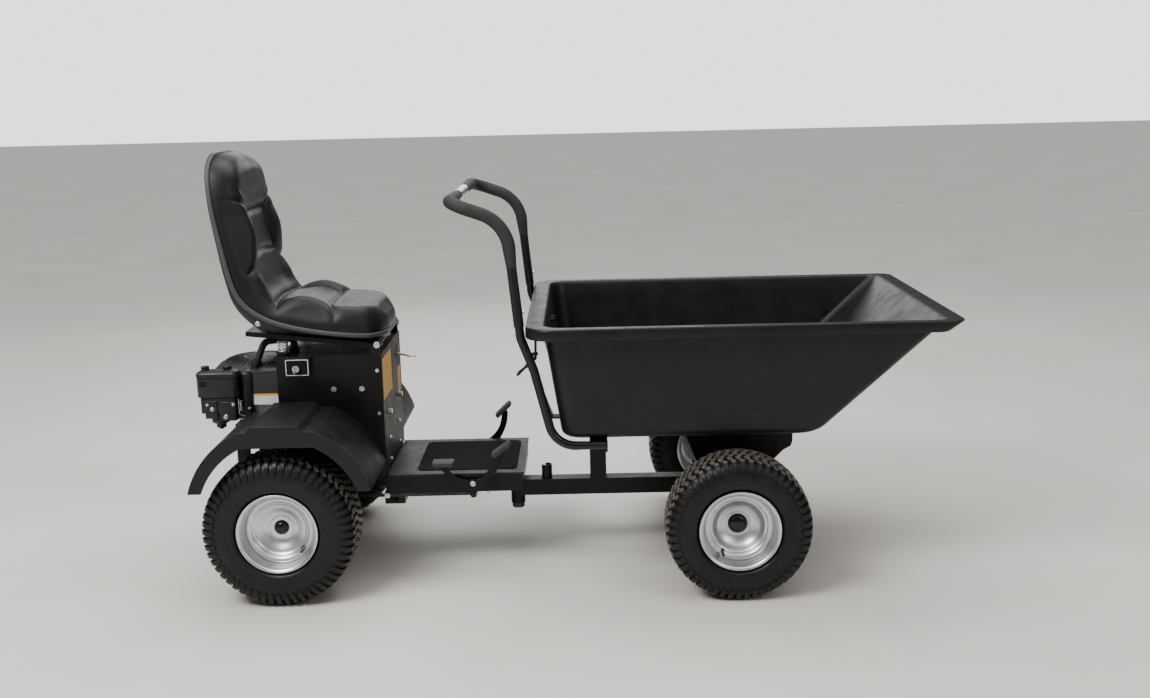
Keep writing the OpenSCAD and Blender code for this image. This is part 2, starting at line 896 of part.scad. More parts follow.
// Places its children in the plane of the tilted seat plate, origin at the hinge
module on_seat() {
    translate([hinge_x, 0, hinge_z]) rotate([0, seat_tilt, 0]) children();
}

// Folded carrier plate with hinge ears, tilting on the two bolts at its front
module seat_plate() {
    color([0.05, 0.05, 0.055])
        on_seat()
            difference() {
                union() {
                    translate([-386, -172, -4]) cube([392, 344, 4]);
                    both_sides() translate([-386, -172, -14]) cube([392, 4, 12]);
                    both_sides()
                        slab_y(-half_w + sheet + 1, 5)
                            polygon([[-30, 0], [-24, -12], [6, -12], [12, -6], [12, 0]]);
                    both_sides() translate([-30, -half_w + sheet + 1, -4]) cube([42, 30, 4]);
                }
                rod_y(5.2 + run_fit, -half_w, box_w);
            }
}

// Moulded pan behind and under the cushion, on two runners
module seat_shell() {
    color([0.03, 0.03, 0.035]) {
        intersection() {
            slab_y(-seat_w / 2 - 8, seat_w + 16)
                polygon([
                    [-535, 705], [-523, 716], [-584, 722], [-700, 738], [-790, 757], [-860, 782],
                    [-915, 822], [-945, 880], [-972, 1000], [-992, 1110], [-1003, 1226],
                    [-1015, 1226], [-1007, 1110], [-990, 1000], [-966, 870], [-934, 800],
                    [-905, 749], [-760, 730]
                ]);
            seat_plan(8);
        }
        both_sides() on_seat() translate([-330, -150, gap]) cube([280, 30, 9]);
    }
}

// Block that rounds the seat in plan and narrows its head, grown by a margin
module seat_plan(grow) {
    width = seat_w + 2 * grow;
    hull() {
        translate([-640, 0, 680]) linear_extrude(300) round_rect(238 + 2 * grow, width, 50);
        translate([-900, 0, 680]) linear_extrude(400) round_rect(300, width, 30);
        translate([-960, 0, 1230]) linear_extrude(40) round_rect(160, width - 90, 30);
    }
}

// Padded vinyl cushion, plain closed solid of the seat and the back
module seat_cushion() {
    color([0.06, 0.06, 0.065])
        intersection() {
            slab_y(-seat_w / 2, seat_w)
                polygon([
                    [-527, 718], [-584, 723], [-700, 739], [-790, 758], [-859.6, 783],
                    [-914, 823], [-944, 880], [-971, 1000], [-991, 1110], [-1002, 1228],
                    [-985, 1250], [-960, 1252], [-938, 1200], [-920, 1110], [-890, 1040],
                    [-885, 940], [-850, 860], [-835, 815], [-780, 838], [-670, 800],
                    [-600, 806], [-545, 783], [-524, 745]
                ]);
            seat_plan(0);
        }
}

// ---------- controls ----------

// Two-pad rocker pedal on the right-hand side of the footplate
module drive_pedal() {
    color([0.06, 0.06, 0.065])
        translate([pedal_x, -pedal_arm_y, pedal_z]) {
            difference() {
                union() {
                    slab_y(0, 6)
                        polygon([
                            [-74, 46], [-45, 18], [-22, 8], [0, 5], [22, 8], [55, 42],
                            [72, 82], [96, 100], [78, 30], [40, -14], [18, -24], [8, -44],
                            [-8, -44], [-18, -24], [-52, 0], [-96, 46], [-96, 62], [-74, 62]
                        ]);
                    rod_y(10, -3, 12);
                }
                rod_y(5 + run_fit, -5, 20);
                translate([0, 0, -rod_drop]) rod_y(3 + run_fit, -5, 20);
            }
            // heel pad and toe pad
            translate([-84, -6, 66]) cube([62, 48, 9], center = true);
            translate([86, -6, 104]) rotate([0, -36, 0]) cube([70, 48, 9], center = true);
        }
}

// Rod under the frame from the pedal to the gearbox arm
module control_rod() {
    color([0.5, 0.5, 0.52])
        translate([0, 0, pedal_z - rod_drop]) {
            translate([pedal_x, 0, 0]) rod_y(3, -pedal_arm_y - 3, pedal_arm_y + 3 + rod_side_y + 2);
            slab_y(rod_side_y, 4)
                difference() {
                    union() {
                        translate([control_x, -5]) square([pedal_x - control_x, 10]);
                        for (x = [control_x, pedal_x])
                            translate([x, 0]) circle(6.1);
                    }
                    translate([control_x, 0]) circle(3.6);
                }
        }
}

// Arm on the side of the gearbox that sets speed and direction
module control_arm() {
    arm_y = rod_side_y + 4 + gap;
    shaft_end = -80.3;
    color([0.5, 0.5, 0.52])
        translate([control_x, 0, pedal_z]) {
            rod_y(7, arm_y, shaft_end - arm_y);
            slab_y(arm_y, 6)
                union() {
                    circle(12);
                    translate([-7, -rod_drop]) square([14, rod_drop]);
                    translate([0, -rod_drop]) circle(7);
                }
            translate([0, 0, -rod_drop]) rod_y(3, arm_y - 6, 8);
        }
}

// Curved brake pedal on the left-hand side of the footplate
module brake_pedal() {
    color([0.06, 0.06, 0.065])
        translate([pedal_x, pedal_arm_y - 6, pedal_z]) {
            difference() {
                union() {
                    slab_y(0, 6)
                        difference() {
                            translate([-42, 82]) circle(104, $fn = 96);
                            translate([-62, 96]) circle(100, $fn = 96);
                            translate([-170, -60]) square([150, 300]);
                            translate([-60, 118]) square([200, 100]);
                        }
                    slab_y(0, 6) circle(15);
                    rod_y(10, -3, 12);
                }
                rod_y(5 + run_fit, -5, 20);
            }
            translate([66, 12, 122]) rotate([0, -41, 0]) cube([74, 46, 9], center = true);
        }
}

// Throttle lever that stands out of the slot in the front panel
module throttle_lever() {
    color([0.3, 0.3, 0.31]) {
        slab_y(119, 3)
            difference() {
                union() {
                    translate([box_front - 40, 610]) circle(9);
                    polygon([[-574, 606], [-500, 591], [-500, 597], [-574, 614]]);
                }
                translate([box_front - 40, 610]) circle(4 + run_fit);
            }
        translate([-492, 120.5, 592.5]) cylinder(r = 15, h = 3);
    }
}

// Ignition key in the console
module ignition_key() {
    color([0.7, 0.7, 0.72])
        translate([-780, 0, 632]) {
            rod_y(7.4, -half_w - 32, 30);
            rod_y(7.4, -half_w - 37, 6);
            rod_y(10, -half_w - 39, 3);
            translate([-1.2, -half_w - 62, -9]) cube([2.4, 25, 18]);
        }
}

// ---------- wheels ----------

// Garden tyre: square-shouldered profile turned about the axle
module tyre(r, w, rim_w, y) {
    side_r = 22;
    shoulder = 26;
    bead_r = rim_r - 6.5;
    bead_y = rim_w / 2 - 12;
    translate([0, y, 0])
        rotate([-90, 0, 0])
            rotate_extrude($fn = 96)
                difference() {
                    hull()
                        for (s = [-1, 1]) {
                            translate([rim_r + 24, s * (w / 2 - side_r)]) circle(side_r);
                            translate([r - shoulder, s * (w / 2 - shoulder)]) circle(shoulder);
                            translate([bead_r, s * (bead_y - 4) - 4]) square([1, 8]);
                        }
                    hull()
                        for (s = [-1, 1]) {
                            translate([rim_r + 24, s * (w / 2 - 30)]) circle(18);
                            translate([r - 36, s * (w / 2 - 36)]) circle(20);
                        }
                    square([2 * (rim_r + 10), 2 * bead_y - 18], center = true);
                }
}

// Pressed rim: flanges, well, dished disc and hub tube, outer side towards -Y
module rim(w, dish, hub_in, hub_r, bore_r) {
    well = rim_r - 18;
    rotate([90, 0, 0])
        rotate_extrude($fn = 96) {
            // barrel with both flanges; 0 is the outer flange face
            polygon([
                [rim_r, 0], [rim_r, -5], [rim_r - 7, -8], [rim_r - 8, -24], [well + 3, -34],
                [well + 3, -w + 34], [rim_r - 8, -w + 24], [rim_r - 7, -w + 8], [rim_r, -w + 5],
                [rim_r, -w], [rim_r - 4, -w], [rim_r - 11, -w + 6], [rim_r - 12, -w + 22],
                [well, -w + 31], [well, -31], [rim_r - 12, -22], [rim_r - 11, -6], [rim_r - 4, 0]
            ]);
            // dished disc
            polygon([
                [well + 1, -36], [well + 1, -40], [78, -44], [66, -dish + 6], [52, -dish],
                [hub_r - 1, -dish - 4], [hub_r - 1, -dish], [50, -dish + 5],
                [63, -dish + 12], [76, -39]
            ]);
            polygon([
                [hub_r, -dish - 2], [hub_r, -hub_in], [bore_r, -hub_in], [bore_r, -dish - 2]
            ]);
        }
    valve_stem();
}

// Tyre valve through the disc
module valve_stem() {
    rotate([0, 150, 0]) translate([84, 44, 0]) rotate([90, 0, 0]) cylinder(r = 4.5, h = 30);
}

// Puts a wheel part on its axle; side -1 is the right, +1 the left
module at_wheel(x, z, side) {
    translate([x, 0, z]) if (side < 0) children(); else mirror([0, 1, 0]) children();
}

module front_tyre(side) {
    color([0.03, 0.03, 0.032])
        at_wheel(front_axle_x, front_tyre_r, side)
            tyre(front_tyre_r, front_tyre_w, front_rim_w, -front_rim_y + front_rim_w / 2);
}

module front_rim(side) {
    color([0.72, 0.72, 0.73])
        at_wheel(front_axle_x, front_tyre_r, side)
            translate([0, -front_rim_y, 0]) rim(front_rim_w, front_dish, 150, 30, 22);
}

module front_bearings(side) {
    color([0.5, 0.5, 0.5])
        at_wheel(front_axle_x, front_tyre_r, side)
            for (y = [-front_rim_y + front_dish + 3, -front_rim_y + 135])
                tube_y(22, 12.5 + run_fit, y, 14);
}

module front_hub_cap(side) {
    color([0.03, 0.03, 0.03])
        at_wheel(front_axle_x, front_tyre_r, side)
            hub_cap(-front_rim_y + front_dish + 2 - gap, 28);
}

module rear_tyre(side) {
    color([0.03, 0.03, 0.032])
        at_wheel(rear_axle_x, rear_tyre_r, side)
            tyre(rear_tyre_r, rear_tyre_w, rear_rim_w, -rear_rim_y + rear_rim_w / 2);
}

module rear_rim(side) {
    color([0.72, 0.72, 0.73])
        at_wheel(rear_axle_x, rear_tyre_r, side)
            translate([0, -rear_rim_y, 0]) rim(rear_rim_w, rear_dish, 150, 30, 12.5 + run_fit);
}

module rear_axle_shaft(side) {
    color([0.5, 0.5, 0.52])
        at_wheel(rear_axle_x, rear_tyre_r, side)
            rod_y(12.5, -rear_rim_y + rear_dish + 4, rear_rim_y - rear_dish - 24);
}

module rear_hub_cap(side) {
    color([0.03, 0.03, 0.03])
        at_wheel(rear_axle_x, rear_tyre_r, side)
            hub_cap(-rear_rim_y + rear_dish + 2 - gap, 21);
}

// Domed plastic cap on the end of a hub
module hub_cap(y, r) {
    translate([0, y, 0])
        rotate([90, 0, 0])
            rotate_extrude()
                polygon([
                    [0, 0], [r, 0], [r, 8], [r - 2, 12], [r - 5, 12], [r - 6, 16], [r - 10, 19], [0, 20]
                ]);
}

module front_tyre_right() { front_tyre(-1); }
module front_rim_right() { front_rim(-1); }
module front_bearings_right() { front_bearings(-1); }
module front_hub_cap_right() { front_hub_cap(-1); }
module front_tyre_left() { front_tyre(1); }
module front_rim_left() { front_rim(1); }
module front_bearings_left() { front_bearings(1); }
module front_hub_cap_left() { front_hub_cap(1); }
module rear_tyre_right() { rear_tyre(-1); }
module rear_rim_right() { rear_rim(-1); }
module rear_axle_shaft_right() { rear_axle_shaft(-1); }
module rear_hub_cap_right() { rear_hub_cap(-1); }
module rear_tyre_left() { rear_tyre(1); }
module rear_rim_left() { rear_rim(1); }
module rear_axle_shaft_left() { rear_axle_shaft(1); }
module rear_hub_cap_left() { rear_hub_cap(1); }

chassis_frame();
kingpin();
footplate();
foot_mat();
seat_box();
front_panel();
body_bolts();
fender_right();
fender_left();
engine_block();
blower_housing();
air_filter_cover();
carburettor();
muffler();
breather_hose();
transaxle();
fuel_tank();
seat_springs();
control_console();
crankshaft();
engine_pulley();
input_pulley();
drive_belt();
main_beam();
front_axle();
hinge_plates();
tub_hinge_pin();
lower_handle_tubes();
upper_handle_tube();
handle_grips();
handle_bolts();
tub();
tub_cradle();
latch_strap();
latch_lever();
seat_plate();
seat_shell();
seat_cushion();
drive_pedal();
control_rod();
control_arm();
brake_pedal();
throttle_lever();
ignition_key();
front_tyre_right();
front_rim_right();
front_bearings_right();
front_hub_cap_right();
front_tyre_left();
front_rim_left();
front_bearings_left();
front_hub_cap_left();
rear_tyre_right();
rear_rim_right();
rear_axle_shaft_right();
rear_hub_cap_right();
rear_tyre_left();
rear_rim_left();
rear_axle_shaft_left();
rear_hub_cap_left();
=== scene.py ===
import json
import math

import bmesh
import bpy
import numpy as np
from mathutils import Matrix, Vector


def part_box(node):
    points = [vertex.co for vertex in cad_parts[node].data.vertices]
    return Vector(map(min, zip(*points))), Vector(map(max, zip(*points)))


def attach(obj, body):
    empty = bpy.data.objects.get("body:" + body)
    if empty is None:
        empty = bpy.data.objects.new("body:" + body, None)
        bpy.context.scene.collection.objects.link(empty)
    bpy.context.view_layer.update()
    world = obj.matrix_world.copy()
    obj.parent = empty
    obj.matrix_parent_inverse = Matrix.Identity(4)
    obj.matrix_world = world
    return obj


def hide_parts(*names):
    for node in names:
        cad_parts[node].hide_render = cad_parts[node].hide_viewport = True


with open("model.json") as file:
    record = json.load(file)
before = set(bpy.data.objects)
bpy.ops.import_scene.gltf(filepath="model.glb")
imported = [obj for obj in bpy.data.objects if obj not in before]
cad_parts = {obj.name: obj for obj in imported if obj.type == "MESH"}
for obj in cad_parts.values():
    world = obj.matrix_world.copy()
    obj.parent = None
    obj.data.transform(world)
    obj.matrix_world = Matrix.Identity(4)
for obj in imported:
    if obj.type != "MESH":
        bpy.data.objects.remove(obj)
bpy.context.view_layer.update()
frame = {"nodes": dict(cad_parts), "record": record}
NODES = frame["nodes"]
SIDES = (("right", -1), ("left", 1))
CORNER_STEPS = 6  # points less one on each corner of a rounded outline
M = {}  # the materials by name


def corner_box(node):
    """Lowest and highest corner of a CAD node as numpy arrays, in metres."""
    lo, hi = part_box(node)
    return np.array(lo), np.array(hi)


# ---------------------------------------------------------------- camera, light, floor

# the photograph's view, found from the object's known lengths
CAMERA_PLACE = (0.05275, -3.88368, 1.39945)
CAMERA_TURN = (11.24, -0.44, -1.34)  # degrees: downwards, sideways, roll
CAMERA_LENS, SENSOR_WIDTH = 40.7, 36

LAMPS = (  # name, place, target, size, watts, colour
    ("key", (-2.4, -2.6, 3.9), (-0.1, 0, 0.4), (2.2, 1.6), 220, (1, 1, 1)),
    ("fill", (3.4, -3.2, 2.6), (0.2, 0, 0.5), (2.0, 2.0), 40, (1, 0.98, 0.95)),
    ("top", (0.2, 1.0, 4.2), (0, 0, 0.6), (3.4, 2.0), 70, (1, 1, 1)),
    ("back", (-0.5, 4.2, 2.4), (0, 0, 0.5), (3.0, 1.6), 45, (1, 1, 1)))
SKY_STRENGTH, SKY_SPREAD = 2.0, 80  # an even light from above, spread over that many degrees
SURROUNDINGS = ((0.9, 0.93, 1, 1), 0.2)  # colour and strength as the object is lit by it
BACKDROP = ((0.95, 0.96, 1, 1), 2.2)  # and as the camera sees it
FLOOR_HALF, FLOOR_CELLS = 40, 24


def link(name, data):
    """Makes an object of some data and puts it into the scene."""
    obj = bpy.data.objects.new(name, data)
    bpy.context.scene.collection.objects.link(obj)
    return obj


def add_camera():
    """Camera at the photograph's height, distance and tilt, with its slight roll."""
    pitch, yaw, roll = (math.radians(a) for a in CAMERA_TURN)
    forward = Vector((math.sin(yaw) * math.cos(pitch), math.cos(yaw) * math.cos(pitch), -math.sin(pitch)))
    level = Vector((math.cos(yaw), -math.sin(yaw), 0))
    upright = level.cross(forward)
    right = level * math.cos(roll) + upright * math.sin(roll)
    up = upright * math.cos(roll) - level * math.sin(roll)
    data = bpy.data.cameras.new("camera")
    data.lens, data.sensor_width, data.sensor_fit = CAMERA_LENS, SENSOR_WIDTH, "HORIZONTAL"
    cam = link("camera", data)
    turn = Matrix((right, up, -forward)).transposed().to_4x4()
    cam.matrix_world = Matrix.Translation(CAMERA_PLACE) @ turn
    bpy.context.scene.camera = cam


def add_lights():
    """A pale studio: a bright plain backdrop, and soft lamps that leave the dark paint dark."""
    world = bpy.data.worlds.new("studio")
    bpy.context.scene.world = world
    world.use_nodes = True
    tree = world.node_tree
    mix = tree.nodes.new("ShaderNodeMixShader")
    path = tree.nodes.new("ShaderNodeLightPath")
    tree.links.new(path.outputs["Is Camera Ray"], mix.inputs[0])
    backgrounds = (tree.nodes["Background"], tree.nodes.new("ShaderNodeBackground"))
    for k, (shade, (colour, strength)) in enumerate(zip(backgrounds, (SURROUNDINGS, BACKDROP))):
        shade.inputs["Color"].default_value = colour
        shade.inputs["Strength"].default_value = strength
        tree.links.new(shade.outputs[0], mix.inputs[k + 1])
    tree.links.new(mix.outputs[0], tree.nodes["World Output"].inputs["Surface"])
    for name, place, target, size, watts, colour in LAMPS:
        data = bpy.data.lights.new(name, "AREA")
        data.shape, data.size, data.size_y = "RECTANGLE", *size
        data.energy, data.color = watts, colour
        lamp = link(name, data)
        lamp.location = place
        lamp.rotation_mode = "QUATERNION"
        lamp.rotation_quaternion = (Vector(target) - Vector(place)).to_track_quat("-Z", "Y")
    sky = bpy.data.lights.new("even_floor", "SUN")
    sky.energy, sky.angle = SKY_STRENGTH, math.radians(SKY_SPREAD)
    link("even_floor", sky)


def add_floor():
    """A wide flat floor, kept out of the model's own pieces."""
    steps = FLOOR_HALF * np.linspace(-1, 1, FLOOR_CELLS + 1)
    verts = [(x, y, 0) for x in steps.tolist() for y in steps.tolist()]
    mesh = bpy.data.meshes.new("floor")
    mesh.from_pydata(verts, [], grid_faces(FLOOR_CELLS + 1, FLOOR_CELLS + 1, flip=True))
    mesh.materials.append(M["floor"])
    obj = link("floor", mesh)


# ---------------------------------------------------------------- materials

class Look:
    """A procedural material, built up from noise, cells and a bump."""

    def __init__(self, name, rough=0.5, metal=0.0, coat=0.0, specular=0.5):
        M[name] = bpy.data.materials.new(name)
        M[name].use_nodes = True
        self.tree = M[name].node_tree
        self.shader = self.tree.nodes["Principled BSDF"]
        for key, value in (("Roughness", rough), ("Metallic", metal), ("Coat Weight", coat),
                           ("Coat Roughness", 0.25), ("Specular IOR Level", specular)):
            self.shader.inputs[key].default_value = value
        self.place = self.tree.nodes.new("ShaderNodeTexCoord").outputs["Object"]
        self.normal = None

    def node(self, kind, **values):
        """Adds a shader node. Values that aren't inputs are set as its own properties."""
        made = self.tree.nodes.new("ShaderNode" + kind)
        for key, value in values.items():
            if key in made.inputs:
                made.inputs[key].default_value = value
            else:
                setattr(made, key, value)
        return made

    def join(self, a, b):
        self.tree.links.new(a, b)

    def stretched(self, scale):
        made = self.node("Mapping", Scale=scale)
        self.join(self.place, made.inputs["Vector"])
        return made.outputs["Vector"]

    def noise(self, scale, detail, rough=0.5, stretch=None, distortion=0.0):
        made = self.node("TexNoise", Scale=scale, Detail=detail, Roughness=rough, Distortion=distortion)
        self.join(self.stretched(stretch) if stretch else self.place, made.inputs["Vector"])
        return made.outputs["Fac"]

    def cells(self, scale, feature="F1"):
        made = self.node("TexVoronoi", feature=feature, Scale=scale)
        self.join(self.place, made.inputs["Vector"])
        return made.outputs["Distance"]

    def ramp(self, source, *stops):
        """Colour ramp: each stop is (position, value) with a grey or an (r, g, b)."""
        made = self.tree.nodes.new("ShaderNodeValToRGB")
        points = made.color_ramp.elements
        while len(points) < len(stops):
            points.new(0.5)
        for point, (where, value) in zip(points, stops):
            colour = value if isinstance(value, tuple) else (value, value, value)
            point.position, point.color = where, (*colour, 1)
        self.join(source, made.inputs["Fac"])
        return made.outputs["Color"]

    def colour(self, source, *stops):
        self.join(self.ramp(source, *stops), self.shader.inputs["Base Color"])
        return self

    def blend_colour(self, share, other):
        """Mixes the present base colour with another one where share is 1."""
        made = self.node("Mix", data_type="RGBA")
        old = self.shader.inputs["Base Color"].links[0].from_socket
        self.join(share, made.inputs[0])
        self.join(old, made.inputs[6])
        made.inputs[7].default_value = (*other, 1)
        self.join(made.outputs[2], self.shader.inputs["Base Color"])
        return self

    def roughness(self, source, low, high):
        self.join(self.ramp(source, (0.3, low), (0.7, high)), self.shader.inputs["Roughness"])
        return self

    def bump(self, source, depth, strength=1.0):
        """Adds relief of that depth, in metres, over the relief so far."""
        made = self.node("Bump", Distance=depth, Strength=strength)
        self.join(source, made.inputs["Height"])
        if self.normal:
            self.join(self.normal, made.inputs["Normal"])
        self.normal = made.outputs["Normal"]
        self.join(self.normal, self.shader.inputs["Normal"])
        return self

    def mark(self, name):
        """A value stored on the mesh, such as dust on raised tread."""
        made = self.node("Attribute", attribute_name=name)
        return made.outputs["Fac"]


PAINTS = (  # name, darker and lighter base colour, roughness, specular, coat
    ("frame_paint", 0.0025, 0.005, 0.36, 0.22, 0), ("body_paint", 0.0025, 0.005, 0.3, 0.25, 0),
    ("panel_paint", 0.005, 0.009, 0.5, 0.18, 0), ("fender_paint", 0.006, 0.010, 0.42, 0.28, 0),
    ("deck_paint", 0.014, 0.02, 0.45, 0.2, 0), ("handle_paint", 0.003, 0.005, 0.25, 0.3, 0.15),
    ("exhaust_steel", 0.03, 0.06, 0.6, 0.4, 0))
METALS = (  # name, darker and lighter base colour, roughness
    ("zinc_bolts", 0.5, 0.72, 0.3), ("machined_steel", 0.35, 0.5, 0.35), ("black_steel", 0.03, 0.06, 0.4),
    ("cast_alloy", 0.28, 0.38, 0.5), ("handle_chrome", 0.6, 0.75, 0.22))
PLASTICS = (  # name, darker and lighter base colour, roughness, grain scale and depth
    ("engine_plastic", 0.006, 0.011, 0.42, 1400, 0.00008),
            ("shroud_plastic", 0.02, 0.03, 0.45, 1400, 0.00008),
    ("pedal_rubber", 0.022, 0.034, 0.55, 1400, 0.00008), ("cap_plastic", 0.004, 0.007, 0.16, 1400, 0.00001),
    ("tank_plastic", 0.6, 0.7, 0.45, 1400, 0.00008), ("hose_rubber", 0.01, 0.016, 0.5, 1400, 0.00008),
    ("shell_plastic", 0.005, 0.009, 0.42, 900, 0.00015))
LABELS = (  # name, darker and lighter base colour, tint
    ("label_white", 0.6, 0.7, (1, 1, 1)), ("label_amber", 0.62, 0.72, (1, 0.54, 0.12)),
    ("label_black", 0.006, 0.01, (1, 1, 1)))


def make_materials():
    """All looks: the families from the tables above, then the ones made for a single piece."""
    for name, dark, light, rough, specular, coat in PAINTS:
        paint = Look(name, rough=rough, coat=coat, specular=specular)
        paint.colour(paint.noise(9, 4), (0.3, dark), (0.75, light))
        paint.roughness(paint.noise(23, 5, 0.6), rough - 0.06, rough + 0.1)
        paint.bump(paint.noise(900, 2), 0.00006)
        paint.bump(paint.noise(60, 2), 0.00018, 0.5)
    for name, dark, light, rough in METALS:
        metal = Look(name, rough=rough, metal=1.0)
        metal.colour(metal.noise(40, 4, 0.6), (0.3, dark), (0.7, light))
        metal.roughness(metal.noise(120, 3, 0.6), rough - 0.07, rough + 0.1)
        metal.bump(metal.noise(700, 2), 0.00002)
    for name, dark, light, rough, grain_scale, grain in PLASTICS:
        plastic = Look(name, rough=rough, specular=0.4)
        plastic.colour(plastic.noise(14, 4), (0.3, dark), (0.75, light))
        plastic.roughness(plastic.noise(30, 4), rough - 0.06, rough + 0.08)
        plastic.bump(plastic.noise(grain_scale, 3, 0.6), grain)
    for name, dark, light, tint in LABELS:
        label = Look(name, rough=0.6, specular=0.12)
        label.colour(label.noise(60, 4),
                     *((at, tuple(shade * t for t in tint)) for at, shade in ((0.3, dark), (0.7, light))))
        label.bump(label.noise(500, 2), 0.00003)

    band = Look("seat_trim", rough=0.5)
    band.colour(band.noise(500, 3, 0.6), (0.35, 0.022), (0.65, 0.06))
    band.bump(band.cells(700), 0.0004)

    mat = Look("grit_mat", rough=0.9, specular=0.1)
    mat.colour(mat.cells(420), (0.12, 0.05), (0.3, 0.008), (0.8, 0.003))
    mat.bump(mat.cells(420), 0.0012)
    mat.bump(mat.noise(900, 3, 0.7), 0.0006)

    foam = Look("grip_foam", rough=0.72)
    foam.colour(foam.noise(300, 4, 0.6), (0.3, 0.010), (0.7, 0.019))
    foam.bump(foam.cells(1500), 0.0002)
    foam.bump(foam.noise(45, 3), 0.0008, 0.4)

    tub = Look("tub_plastic", rough=0.42, specular=0.28)
    tub.colour(tub.noise(5, 5, 0.6), (0.3, 0.0045), (0.75, 0.009))
    scuffs = tub.ramp(tub.noise(9, 9, 0.75, (0.5, 0.6, 3.0), 1.2), (0.64, 0.0), (0.78, 0.22))
    tub.blend_colour(scuffs, (0.2, 0.2, 0.2))
    tub.roughness(tub.noise(16, 5, 0.65), 0.32, 0.52)
    tub.bump(tub.noise(900, 3, 0.6), 0.0001)
    tub.bump(tub.noise(7, 3), 0.0015, 0.5)

    vinyl = Look("seat_vinyl", rough=0.46, specular=0.3)
    vinyl.colour(vinyl.noise(12, 4), (0.3, 0.005), (0.75, 0.009))
    vinyl.roughness(vinyl.noise(25, 4, 0.6), 0.4, 0.5)
    vinyl.bump(vinyl.cells(700, "SMOOTH_F1"), 0.00015, 0.6)
    vinyl.bump(vinyl.noise(1400, 2), 0.00006)
    vinyl.bump(vinyl.noise(45, 3, 0.5), 0.0003, 0.3)

    tyre = Look("tyre_rubber", rough=0.5, specular=0.28)
    tyre.colour(tyre.noise(30, 5, 0.65), (0.3, 0.004), (0.7, 0.009))
    worn = tyre.node("Math", operation="MULTIPLY")
    tyre.join(tyre.mark("dust"), worn.inputs[0])
    tyre.join(tyre.ramp(tyre.noise(140, 6, 0.7), (0.35, 0.1), (0.6, 0.85)), worn.inputs[1])
    tyre.blend_colour(worn.outputs[0], (0.17, 0.15, 0.125))
    tyre.roughness(tyre.noise(80, 4), 0.36, 0.55)
    tyre.bump(tyre.noise(600, 4, 0.6), 0.0002)

    rim = Look("rim_zinc", rough=0.33, metal=1.0)
    rim.colour(rim.noise(9, 4, 0.5), (0.3, (0.6, 0.6, 0.605)), (0.7, (0.7, 0.7, 0.71)))
    rim.roughness(rim.noise(26, 4, 0.5), 0.3, 0.37)
    radius = rim.node("VectorMath", operation="LENGTH")
    rim.join(rim.stretched((1, 0, 1)), radius.inputs[0])
    rings = rim.node("TexNoise", noise_dimensions="1D", Scale=700)
    rim.join(radius.outputs["Value"], rings.inputs["W"])
    rim.bump(rings.outputs["Fac"], 0.00001, 0.5)

    floor = Look("floor", rough=0.6)
    floor.colour(floor.noise(1.3, 6, 0.6), (0.3, (0.62, 0.58, 0.53)), (0.7, (0.70, 0.66, 0.61)))
    floor.bump(floor.noise(60, 5, 0.6), 0.0006, 0.4)


# ---------------------------------------------------------------- mesh helpers

def add_piece(name, shape, look, body, slot=None, replaces=(), origin=None, sharp=40):
    """Makes a piece of a shape's (verts, faces) and lets it ride on a CAD body.

    The slot argument is not used. The piece's own origin is put at origin.
    """
    verts, faces = shape
    slot = slot or look
    shift = np.array(origin if origin is not None else (0, 0, 0), float)
    mesh = bpy.data.meshes.new(name)
    mesh.from_pydata((np.asarray(verts, float) - shift).tolist(), [], [list(map(int, f)) for f in faces])
    mesh.validate()
    outward = bmesh.new()
    outward.from_mesh(mesh)
    bmesh.ops.recalc_face_normals(outward, faces=outward.faces)
    outward.to_mesh(mesh)
    outward.free()
    mesh.polygons.foreach_set("use_smooth", [True] * len(mesh.polygons))
    mesh.set_sharp_from_angle(angle=math.radians(sharp))
    mesh.materials.append(M[look])
    obj = link(name, mesh)
    obj.location = shift
    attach(obj, body)
    if replaces:
        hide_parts(*replaces)
    return obj


def lengths(line):
    """Distance of each point from the start, measured along the line."""
    return np.r_[0, np.cumsum(np.linalg.norm(np.diff(line, axis=0), axis=1))]


def softened(points, closed, times):
    """Cuts each corner of a line by Chaikin's rule."""
    pts = np.asarray(points, float)
    for _ in range(times):
        nxt = np.roll(pts, -1, 0) if closed else pts[1:]
        cur = pts if closed else pts[:-1]
        cut = np.stack([cur * 0.75 + nxt * 0.25, cur * 0.25 + nxt * 0.75], 1).reshape(-1, pts.shape[1])
        pts = cut if closed else np.vstack([pts[:1], cut[1:-1], pts[-1:]])
    return pts


def spline(points, count):
    """Catmull-Rom line through the points, sampled at even steps of its length."""
    p = np.asarray(points, float)
    ends = np.vstack([2 * p[0] - p[1], p, 2 * p[-1] - p[-2]])
    out = []
    for i in range(len(p) - 1):
        a, b, c, d = ends[i:i + 4]
        for t in np.linspace(0, 1, 24, endpoint=False):
            square, cube = 2 * a - 5 * b + 4 * c - d, 3 * b - a - 3 * c + d
            out.append(0.5 * (2 * b + (c - a) * t + square * t**2 + cube * t**3))
    out.append(p[-1])
    out = np.array(out)
    run = lengths(out)
    want = np.linspace(0, run[-1], count)
    return np.stack([np.interp(want, run, out[:, k]) for k in range(out.shape[1])], 1)


def grid_faces(rows, cols, wrap_rows=False, wrap_cols=False, flip=False):
    """Faces between the points of a grid, which may close on itself either way."""
    i, j = np.meshgrid(np.arange(rows if wrap_rows else rows - 1), np.arange(cols if wrap_cols else cols - 1),
                       indexing="ij")
    a = i * cols + j
    b = i * cols + (j + 1) % cols
    c = ((i + 1) % rows) * cols + (j + 1) % cols
    d = ((i + 1) % rows) * cols + j
    return np.stack([a, d, c, b] if flip else [a, b, c, d], -1).reshape(-1, 4).tolist()


def end_caps(steps, count):
    """Faces over both open ends of a turned grid."""
    return [[k * count for k in range(steps)], [k * count + count - 1 for k in range(steps)]]


